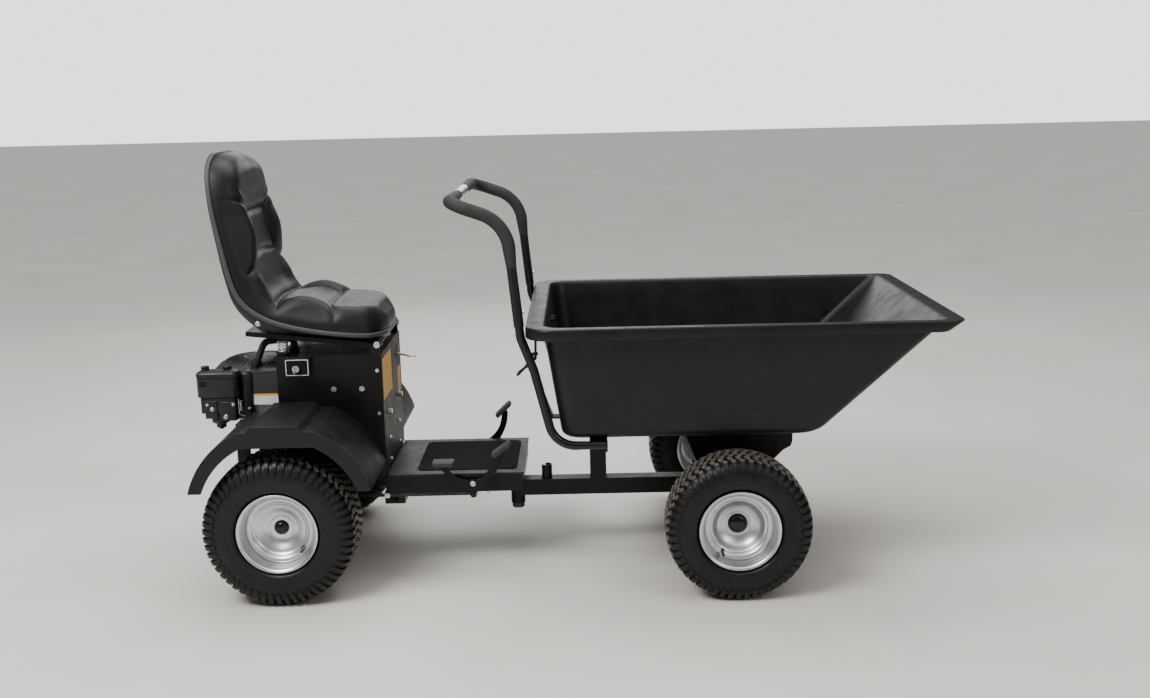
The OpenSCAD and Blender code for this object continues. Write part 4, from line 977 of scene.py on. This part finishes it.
def make_handles():
    """Bent tubes on the same lines as the CAD, with foam sleeves and a bare sleeve on the cross tube."""
    lower_parts = []
    for side in (-1, 1):
        y = side * HANDLE_Y
        path = pipe_path([(-0.133, y, 0.856), (-0.122, y, 0.741), (-0.088, y, 0.650), (-0.035, y, 0.434),
                          (0.111, y, 0.434)], [0.060, 0.090, 0.075])
        lower_parts.append(swept(path, rounded_ends(path, SIDE_TUBE, 0.002), 28))
    add_piece("handle_side_tubes", merged(lower_parts), "handle_paint", "front_frame",
              replaces=["lower_handle_tubes"])
    path = pipe_path(mirrored([(-0.125, -HANDLE_Y, 0.772), (-0.152, -HANDLE_Y, 1.057),
                               (-0.306, -HANDLE_Y, 1.112)]), [0.110, 0.058, 0.058, 0.110])
    add_piece("handle_loop_tube", swept(path, LOOP_TUBE, 32), "handle_paint", "front_frame", "handle_chrome",
              ["upper_handle_tube"])
    sleeve = np.array([(-0.306, y, 1.112) for y in np.linspace(-0.104, 0.104, 40)])
    add_piece("cross_tube_sleeve", swept(sleeve, rounded_ends(sleeve, SLEEVE, 0.0006), 32), "handle_chrome",
              "front_frame")
    grips = []
    bend, low = np.array([-0.152, 0, 1.057]), np.array([-0.125, 0, 0.772])
    foot = bend + (low - bend) * 0.122 / np.hypot(0.027, 0.285)
    for side in (-1, 1):
        shift = np.array((0, side * HANDLE_Y, 0))
        path = pipe_path([np.array((-0.306, side * 0.112, 1.112)), np.array((-0.306, 0, 1.112)) + shift,
                          bend + shift, foot + shift], [0.058, 0.110], 0.003)
        grips.append(swept(path, rounded_ends(path, GRIP, 0.004), 32))
    add_piece("foam_sleeves", merged(grips), "grip_foam", "front_frame", replaces=["handle_grips"])


HOSE_RADIUS, RIB_DEPTH, RIB_PITCH = 0.0102, 0.0009, 0.0052


def make_hose():
    """Corrugated breather hose from the engine's cover to the pipe under the seat."""
    path = pipe_path([(-0.921, -0.104, 0.634), (-0.897, -0.098, 0.690), (-0.812, -0.088, 0.697),
                      (-0.812, -0.088, 0.6713)], [0.022, 0.014], 0.0006)
    run = lengths(path)
    even = np.arange(0, run[-1], 0.0007)
    path = np.stack([np.interp(even, run, path[:, k]) for k in range(3)], 1)
    ribs = HOSE_RADIUS + RIB_DEPTH * np.tanh(2.2 * np.sin(even * 2 * math.pi / RIB_PITCH))
    ribs[(even < 0.006) | (even > even[-1] - 0.008)] = 0.0106
    add_piece("ribbed_hose", swept(path, ribs, 28), "hose_rubber", "chassis", replaces=["breather_hose"],
              sharp=70)
    way = (path[8] - path[0]) / np.linalg.norm(path[8] - path[0])
    reach = np.array([-0.024, -0.004, -0.0035, 0.0, 0.0005, 0.0050, 0.0055, 0.0060])
    radii = (0.0145, 0.0145, 0.0130, 0.0130, 0.0142, 0.0142, 0.0135, 0.0108)
    add_piece("hose_spigot", swept(path[0] + reach[:, None] * way, radii, 32), "engine_plastic", "chassis",
              sharp=35)


def make_springs():
    """Coil springs under the back of the seat plate, their end turns laid flat."""
    lo, hi = corner_box("seat_springs")
    parts = []
    turns, wire, coil = 4.5, 0.0024, 0.0138
    for side in (-1, 1):
        middle = np.array(((lo[0] + hi[0]) / 2, side * (hi[1] - 0.0165), 0))
        t = np.linspace(0, turns, int(turns * 36))
        rise = np.clip((t - 0.6) / (turns - 1.2), 0, 1)
        z = lo[2] + wire + (hi[2] - lo[2] - 2 * wire) * (rise * 0.86 + t / turns * 0.14)
        path = np.stack([middle[0] + coil * np.cos(t * 2 * math.pi),
                         middle[1] + coil * np.sin(t * 2 * math.pi), z], 1)
        parts.append(swept(path, wire, 12))
    add_piece("coil_springs", merged(parts), "zinc_bolts", "chassis", replaces=["seat_springs"], sharp=70)


# ---------------------------------------------------------------- plates and labels

LIFT = 0.00005  # how far a label's back sits in or over the face behind it
LABEL_EDGE = 0.0001


def side_axes(y):
    """Origin and axes of a label that faces the right-hand side."""
    return (0, y, 0), (1, 0, 0), (0, 0, 1), (0, -1, 0)


def make_labels():
    """Blank stickers where the machine carries printed ones."""
    lo, hi = corner_box("front_panel")
    face = hi[0]
    for name, y0, y1, z0, z1 in (("wide", -0.180, -0.010, 0.522, 0.645),
                                 ("narrow", 0.112, 0.166, 0.478, 0.560)):
        outline = round_box_outline(y0, z0, y1, z1, 0.003)
        axes = ((face - LIFT, 0, 0), (0, 1, 0), (0, 0, 1), (1, 0, 0))
        add_piece(f"panel_sticker_{name}", plate(outline, 0.0004, axes, LABEL_EDGE), "label_amber", "chassis",
                  "body_paint")
    lo, hi = corner_box("control_console")
    x0, x1, z0, z1, y = lo[0] + 0.006, hi[0] - 0.005, lo[2] + 0.006, hi[2] - 0.005, lo[1]
    outline = round_box_outline(x0, z0, x1, z1, 0.003)
    label_axes = side_axes(y + LIFT)
    add_piece("console_plate_edge", plate(outline, 0.0005, label_axes, LABEL_EDGE), "label_white", "chassis",
              "body_paint")
    outline = round_box_outline(x0 + 0.0022, z0 + 0.0022, x1 - 0.0022, z1 - 0.0022, 0.002)
    add_piece("console_plate_face", plate(outline, 0.0008, label_axes, LABEL_EDGE), "label_black", "chassis",
              "body_paint")


# ---------------------------------------------------------------- engine

def stacked(outline_at, levels):
    """Closed body from level outlines: levels are (inset, height)."""
    loops = []
    for inset, z in levels:
        flat = outline_at(inset)
        loops.append(np.column_stack([flat, np.full(len(flat), z)]))
    n = len(loops[0])
    verts = np.concatenate(loops)
    faces = grid_faces(len(loops), n, wrap_cols=True)
    faces += [list(range(n))[::-1], list(range(len(verts) - n, len(verts)))]
    return verts, faces


def soft_box(x0, x1, y0, y1, z0, z1, corner, edge):
    """Box with round upright corners and rolled edges above and below."""
    def outline_at(inset):
        return round_box_outline(x0 + inset, y0 + inset, x1 - inset, y1 - inset, max(corner - inset, 0.0006))
    roll = [(edge * (1 - math.sin(t)), edge * (1 - math.cos(t))) for t in np.linspace(0, math.pi / 2, 5)]
    levels = [(i, z0 + h) for i, h in roll] + [(i, z1 - h) for i, h in roll[::-1]]
    return stacked(outline_at, levels)


def turned_up(profile, centre, steps=48, lobes=0, depth=0.0):
    """Turns (radius, height) about an upright axis, with optional lobes for a hand knob."""
    prof = np.asarray(profile, float)
    angle = np.linspace(0, 2 * math.pi, steps, endpoint=False)
    r = np.tile(prof[:, 0], (steps, 1))
    if lobes:
        r += depth * np.cos(lobes * angle)[:, None] * (r > 0.5 * prof[:, 0].max())
    x, y = r * np.cos(angle)[:, None], r * np.sin(angle)[:, None]
    z = np.tile(prof[:, 1], (steps, 1))
    verts = np.stack([x, y, z], -1).reshape(-1, 3) + (centre[0], centre[1], 0)
    return verts, grid_faces(steps, len(prof), wrap_rows=True) + end_caps(steps, len(prof))


def make_filter_cover():
    """Air filter cover with an overlapping lid, two lobed knobs and a blank badge."""
    lo, hi = corner_box("air_filter_cover")
    lid = hi[2] - 0.029

    def outline_at(inset):
        return round_box_outline(lo[0] + inset, lo[1] + inset, hi[0] - inset, hi[1] - inset,
                                 0.014 - inset * 0.4)
    levels = [(0.006, lo[2]), (0.002, lo[2] + 0.001), (0.001, lo[2] + 0.004)]
    levels += [(inset, lid + z) for inset, z in (
        (0.001, -0.002), (0.0026, -0.001), (0.0026, 0.001), (0.0, 0.0015), (0.0, 0.010), (0.001, 0.0135),
        (0.0035, 0.0165), (0.008, 0.0188), (0.013, 0.0198), (0.020, 0.020))]
    add_piece("filter_case", stacked(outline_at, levels), "engine_plastic", "chassis",
              replaces=["air_filter_cover"], sharp=35)
    knobs = []
    top = hi[2]
    for x in (0.020, 0.085):
        knobs.append(turned_up([(0.0001, lid + 0.019), (0.009, lid + 0.019), (0.009, top - 0.0085),
                                (0.0115, top - 0.0080), (0.0118, top - 0.0015), (0.0105, top), (0.0001, top)],
                               (lo[0] + x, lo[1] + 0.042), 72, 9, 0.0008))
    add_piece("filter_knobs", merged(knobs), "cap_plastic", "chassis", sharp=40)
    outline = round_box_outline(lo[0] + 0.012, lid - 0.024, lo[0] + 0.033, lid - 0.009, 0.001)
    axes = side_axes(lo[1] + 0.0011)
    add_piece("filter_badge", plate(outline, 0.0006, axes, LABEL_EDGE), "label_black", "chassis",
              "engine_plastic")


def make_carburettor():
    """Carburettor and intake: body with cover plates, float bowl, linkage and bolts."""
    lo, hi = corner_box("carburettor")
    face = lo[1]
    parts = [soft_box(lo[0] + x0, lo[0] + x1, face + y0, face + y1, hi[2] + z0, hi[2] + z1, corner, edge)
             for x0, x1, y0, y1, z0, z1, corner, edge in (
                 (0, 0.102, 0.004, 0.056, -0.047, 0.0005, 0.006, 0.002),
                 (0.012, 0.050, 0.001, 0.030, -0.062, -0.008, 0.004, 0.002),
                 (0.056, 0.104, 0, 0.034, -0.069, -0.012, 0.005, 0.0025),
                 (0.108, 0.148, 0.030, 0.090, -0.040, 0.070, 0.018, 0.010),
                 (0.096, 0.140, 0.036, 0.090, -0.072, -0.028, 0.006, 0.003))]
    bowl_at = (lo[0] + 0.050, face + 0.030)
    bowl = [(0.0001, 0), (0.006, 0), (0.007, 0.004), (0.013, 0.005), (0.0145, 0.008), (0.0145, 0.016),
            (0.019, 0.018), (0.0245, 0.021), (0.0265, 0.024), (0.0265, 0.030), (0.0245, 0.0315),
            (0.0245, 0.034), (0.0275, 0.036), (0.0275, 0.042), (0.023, 0.043), (0.023, 0.056),
            (0.0001, 0.056)]
    parts.append(turned_up([(r, lo[2] + z) for r, z in bowl], bowl_at))
    add_piece("carburettor_body", merged(parts), "engine_plastic", "chassis", replaces=["carburettor"],
              sharp=35)
    bolts = []
    for x, z, r, y in ((0.034, -0.033, 0.0046, 0.001), (0.073, -0.056, 0.0052, 0.0),
                       (0.020, -0.020, 0.0034, 0.001), (0.096, -0.020, 0.0034, 0.0),
                       (0.133, -0.038, 0.004, 0.036)):
        v, f = domed_bolt(r, 0.0026)
        bolts.append((v * (1, -1, 1) + (lo[0] + x, face + y - 0.0004, hi[2] + z), [q[::-1] for q in f]))
    linkage = pipe_path([(lo[0] + 0.112, face + 0.004, hi[2] - 0.004),
                         (lo[0] + 0.112, face + 0.004, hi[2] - 0.050),
                         (lo[0] + 0.126, face + 0.012, hi[2] - 0.058)], [0.004], 0.001)
    bolts.append(swept(linkage, 0.0013, 10))
    t = np.linspace(0, 9, 270)
    coil = np.stack([lo[0] + 0.118 + 0.0032 * np.cos(t * 2 * math.pi),
                     face + 0.006 + 0.0032 * np.sin(t * 2 * math.pi),
                     hi[2] - 0.010 - t * 0.0034], 1)
    bolts.append(swept(coil, 0.0006, 8))
    add_piece("carburettor_hardware", merged(bolts), "zinc_bolts", "chassis", sharp=45)


def make_blower_details():
    """Louvres round the starter dome, its centre cap, a seam on the shroud and a blank sticker."""
    lo, hi = corner_box("blower_housing")
    cx, cy = lo[0] + 0.140, lo[1] + 0.158
    dome = np.array([(0, 0), (0.060, -0.002), (0.096, -0.008), (0.122, -0.020), (0.138, -0.036)])

    def height(r):
        return hi[2] + np.interp(r, dome[:, 0], dome[:, 1])
    parts = []
    for k in range(40):
        a = 2 * math.pi * k / 40
        along, across = np.array((math.cos(a), math.sin(a))), np.array((-math.sin(a), math.cos(a)))
        rows = []
        for r, h in ((0.052, -0.001), (0.053, 0.0016), (0.075, 0.002), (0.095, 0.002), (0.107, 0.0016),
                     (0.109, -0.001)):
            for w, lift in ((-0.0026, -0.003), (-0.0018, h), (0.0018, h), (0.0026, -0.003)):
                q = np.array((cx, cy)) + along * r + across * w
                rows.append((q[0], q[1], min(height(r), hi[2] - 0.002) + lift))
        parts.append((np.array(rows), bar_faces(6, 4)))
    parts.append(turned_up([(0.041, hi[2] - 0.006), (0.041, hi[2] - 0.001), (0.038, hi[2]), (0.0001, hi[2])],
                           (cx, cy)))
    verts, faces = merged(parts)
    verts[:, 2] = np.minimum(verts[:, 2], hi[2])
    add_piece("starter_louvres", (verts, faces), "engine_plastic", "chassis", sharp=30)
    x0 = lo[0] + 0.144
    ledge = soft_box(x0 - 0.001, x0 + 0.060, lo[1] - 0.0014, lo[1] + 0.02, hi[2] - 0.0235, hi[2] - 0.019,
                     0.002, 0.0008)
    add_piece("shroud_seam", ledge, "shroud_plastic", "chassis", "engine_plastic")
    y = lo[1] + LIFT
    for name, z0, z1, look in (("white", lo[2] + 0.001, lo[2] + 0.027, "label_white"),
                               ("amber", lo[2] + 0.027, lo[2] + 0.0335, "label_amber")):
        outline = round_box_outline(x0 + 0.004, z0, x0 + 0.078, z1, 0.001)
        add_piece(f"shroud_sticker_{name}", plate(outline, 0.0005, side_axes(y), LABEL_EDGE), look, "chassis",
                  "engine_plastic")


# ---------------------------------------------------------------- pedals and small hardware

# outlines of the two pedal arms in side view, in millimetres from their pivots
DRIVE_ARM = [(-80, 64), (-74, 44), (-52, 24), (-30, 12), (0, 8), (22, 13), (45, 36), (62, 62), (74, 88),
             (82, 104), (97, 104), (92, 76), (78, 46), (58, 20), (38, -2), (20, -18), (10, -28), (8, -44),
             (-8, -44), (-10, -28), (-20, -17), (-40, -6), (-62, 10), (-82, 30), (-94, 48), (-95, 64)]
BRAKE_ARM = [(-15, 4), (-9, 13), (5, 17), (20, 24), (39, 40), (52, 58), (60, 78), (64, 100), (66, 116),
             (84, 120), (84, 100), (80, 74), (70, 48), (53, 18), (35, -2), (14, -12), (0, -16), (-12, -10)]


def slab(outline, y0, y1, edge):
    """Closed upright plate between y0 and y1, its outline (x, z) rounded and its edges broken."""
    pts = softened(outline, True, 2)
    way = np.roll(pts, -1, 0) - np.roll(pts, 1, 0)
    way /= np.linalg.norm(way, axis=1)[:, None]
    inward = np.stack([-way[:, 1], way[:, 0]], 1)
    area = np.sum(pts[:, 0] * np.roll(pts[:, 1], -1) - pts[:, 1] * np.roll(pts[:, 0], -1))
    inward *= math.copysign(1, area)
    rings = []
    for inset, y in ((edge, y0), (0, y0 + edge), (0, y1 - edge), (edge, y1)):
        q = pts + inward * inset
        rings.append(np.column_stack([q[:, 0], np.full(len(q), y), q[:, 1]]))
    n = len(pts)
    caps = [list(range(n)), list(range(3 * n, 4 * n))[::-1]]
    faces = grid_faces(4, n, wrap_cols=True, flip=area > 0)
    return np.concatenate(rings), faces + ([cap[::-1] for cap in caps] if area < 0 else caps)


def pad_cover(centre, half, turn, thick):
    """Rubber pad with cross bars, turned about Y by turn degrees. centre is (x, y, z)."""
    parts = [soft_box(-half[0], half[0], -half[1], half[1], -thick / 2, thick / 2 - 0.0015, 0.005, 0.002)]
    bars = 6
    for k in range(bars):
        px = (k - (bars - 1) / 2) * half[0] * 1.8 / bars
        parts.append(soft_box(px - 0.0028, px + 0.0028, -half[1] + 0.004, half[1] - 0.004, thick / 2 - 0.003,
                              thick / 2, 0.0012, 0.0008))
    v, f = merged(parts)
    c, s = math.cos(math.radians(turn)), math.sin(math.radians(turn))
    turned_x, turned_z = v[:, 0] * c + v[:, 2] * s, v[:, 2] * c - v[:, 0] * s
    return np.column_stack([turned_x, v[:, 1], turned_z]) + centre, f


PEDALS = (  # name, outline, side, place of the hub, pads as (place, half length, turn)
    ("drive", DRIVE_ARM, -1, (0.115, 0.044), (((0.031, 0.1100), 0.031, 0), ((0.202, 0.1490), 0.032, -35))),
    ("brake", BRAKE_ARM, 1, (0.020, 0.020), (((0.0895, 0.1400), 0.031, -43),)))


def make_pedals():
    """Plate arms with hubs, rubber pads and the bolts they turn on."""
    for name, outline, side, hub, pads in PEDALS:
        node = f"{name}_pedal"
        lo, hi = corner_box(node)
        x, z = lo[0] + hub[0], lo[2] + hub[1]
        middle = (lo[1] + hi[1]) / 2
        arm = middle + (0.009 if side < 0 else -0.009)
        parts = [slab(np.array(outline) / 1000 + (x, z), arm - 0.003, arm + 0.003, 0.0008)]
        for radius, reach in ((0.010, 0.006), (0.0125, 0.0038)):
            v, f = turned([(-reach, 0.0002), (-reach, radius - 0.001), (-reach + 0.001, radius),
                           (reach - 0.001, radius), (reach, radius - 0.001), (reach, 0.0002)], False, 40, 1)
            parts.append((v + (x, arm, z), f))
        add_piece(f"{name}_pedal_arm", merged(parts), "frame_paint", node, replaces=[node],
                  origin=(x, arm, z), sharp=35)
        covers = [pad_cover((lo[0] + at[0], middle, lo[2] + at[1]), (length, 0.0235), turn, 0.014)
                  for at, length, turn in pads]
        add_piece(f"{name}_pedal_pads", merged(covers), "pedal_rubber", node, "frame_paint",
                  origin=(x, arm, z), sharp=35)
        v, f = domed_bolt(0.006, 0.0035)
        if side < 0:
            v, f = v * (1, -1, 1), [q[::-1] for q in f]
        add_piece(f"{name}_pedal_bolt", (v + (x, arm + side * 0.0064, z), f), "zinc_bolts", node,
                  "frame_paint", sharp=45)


def make_deck_studs():
    """Threaded ends and nuts under the footplate beside the pedal pivot."""
    lo, hi = corner_box("footplate")
    below = hi[2] - 0.057
    parts = []
    for x, drop in ((lo[0] + 0.209, 0.010), (lo[0] + 0.261, 0.021), (lo[0] + 0.294, 0.012)):
        at = (x, lo[1] + 0.018)
        parts.append(turned_up([(0.0001, below - drop), (0.0028, below - drop),
                                (0.0033, below - drop + 0.001), (0.0033, below + 0.001),
                                (0.0001, below + 0.001)], at, 16))
        nut = [(0.0062, below - 0.0058), (0.0066, below - 0.0050), (0.0066, below + 0.0005)]
        parts.append(turned_up([(0.0034, below - 0.0058)] + nut + [(0.0034, below + 0.0005)], at, 6))
    add_piece("deck_studs", merged(parts), "zinc_bolts", "chassis", sharp=30)


# ---------------------------------------------------------------- run

NODE_LOOKS = {"front_panel": "panel_paint", "fender_right": "fender_paint", "fender_left": "fender_paint",
              "blower_housing": "shroud_plastic", "kingpin": "black_steel", "control_rod": "black_steel",
              "control_arm": "black_steel"}
SOFT_EDGES = {"air_filter_cover": 0.003, "blower_housing": 0.002, "fender_right": 0.002, "fender_left": 0.002,
              "footplate": 0.0006, "front_panel": 0.0006, "seat_plate": 0.001, "transaxle": 0.003}
EDGE_RADIUS, EDGE_ANGLE, WELD_GAP = 0.0008, 38, 0.00002  # for all other nodes


def paint_nodes():
    """Gives every CAD node that is still shown its material and takes the sharpness off its edges."""
    slots = {s["node"]: s["material_slot"] for s in frame["record"]["subparts"]}
    for name, obj in NODES.items():
        if obj.hide_render:
            continue
        obj.data.materials.clear()
        obj.data.materials.append(M[NODE_LOOKS.get(name, slots[name])])
        if "custom_normal" in obj.data.attributes:
            obj.data.attributes.remove(obj.data.attributes["custom_normal"])
        obj.data.polygons.foreach_set("use_smooth", [True] * len(obj.data.polygons))
        weld = obj.modifiers.new("weld", "WELD")
        weld.merge_threshold = WELD_GAP
        bevel = obj.modifiers.new("bevel", "BEVEL")
        bevel.width = SOFT_EDGES.get(name, EDGE_RADIUS)
        bevel.segments = 2
        bevel.limit_method = "ANGLE"
        bevel.angle_limit = math.radians(EDGE_ANGLE)
        obj.modifiers.new("normals", "WEIGHTED_NORMAL")


add_camera()
add_lights()
make_materials()
add_floor()
make_wheels()
make_tub()
make_seat()
make_handles()
make_hose()
make_springs()
make_labels()
make_filter_cover()
make_carburettor()
make_blower_details()
make_pedals()
make_deck_studs()
paint_nodes()
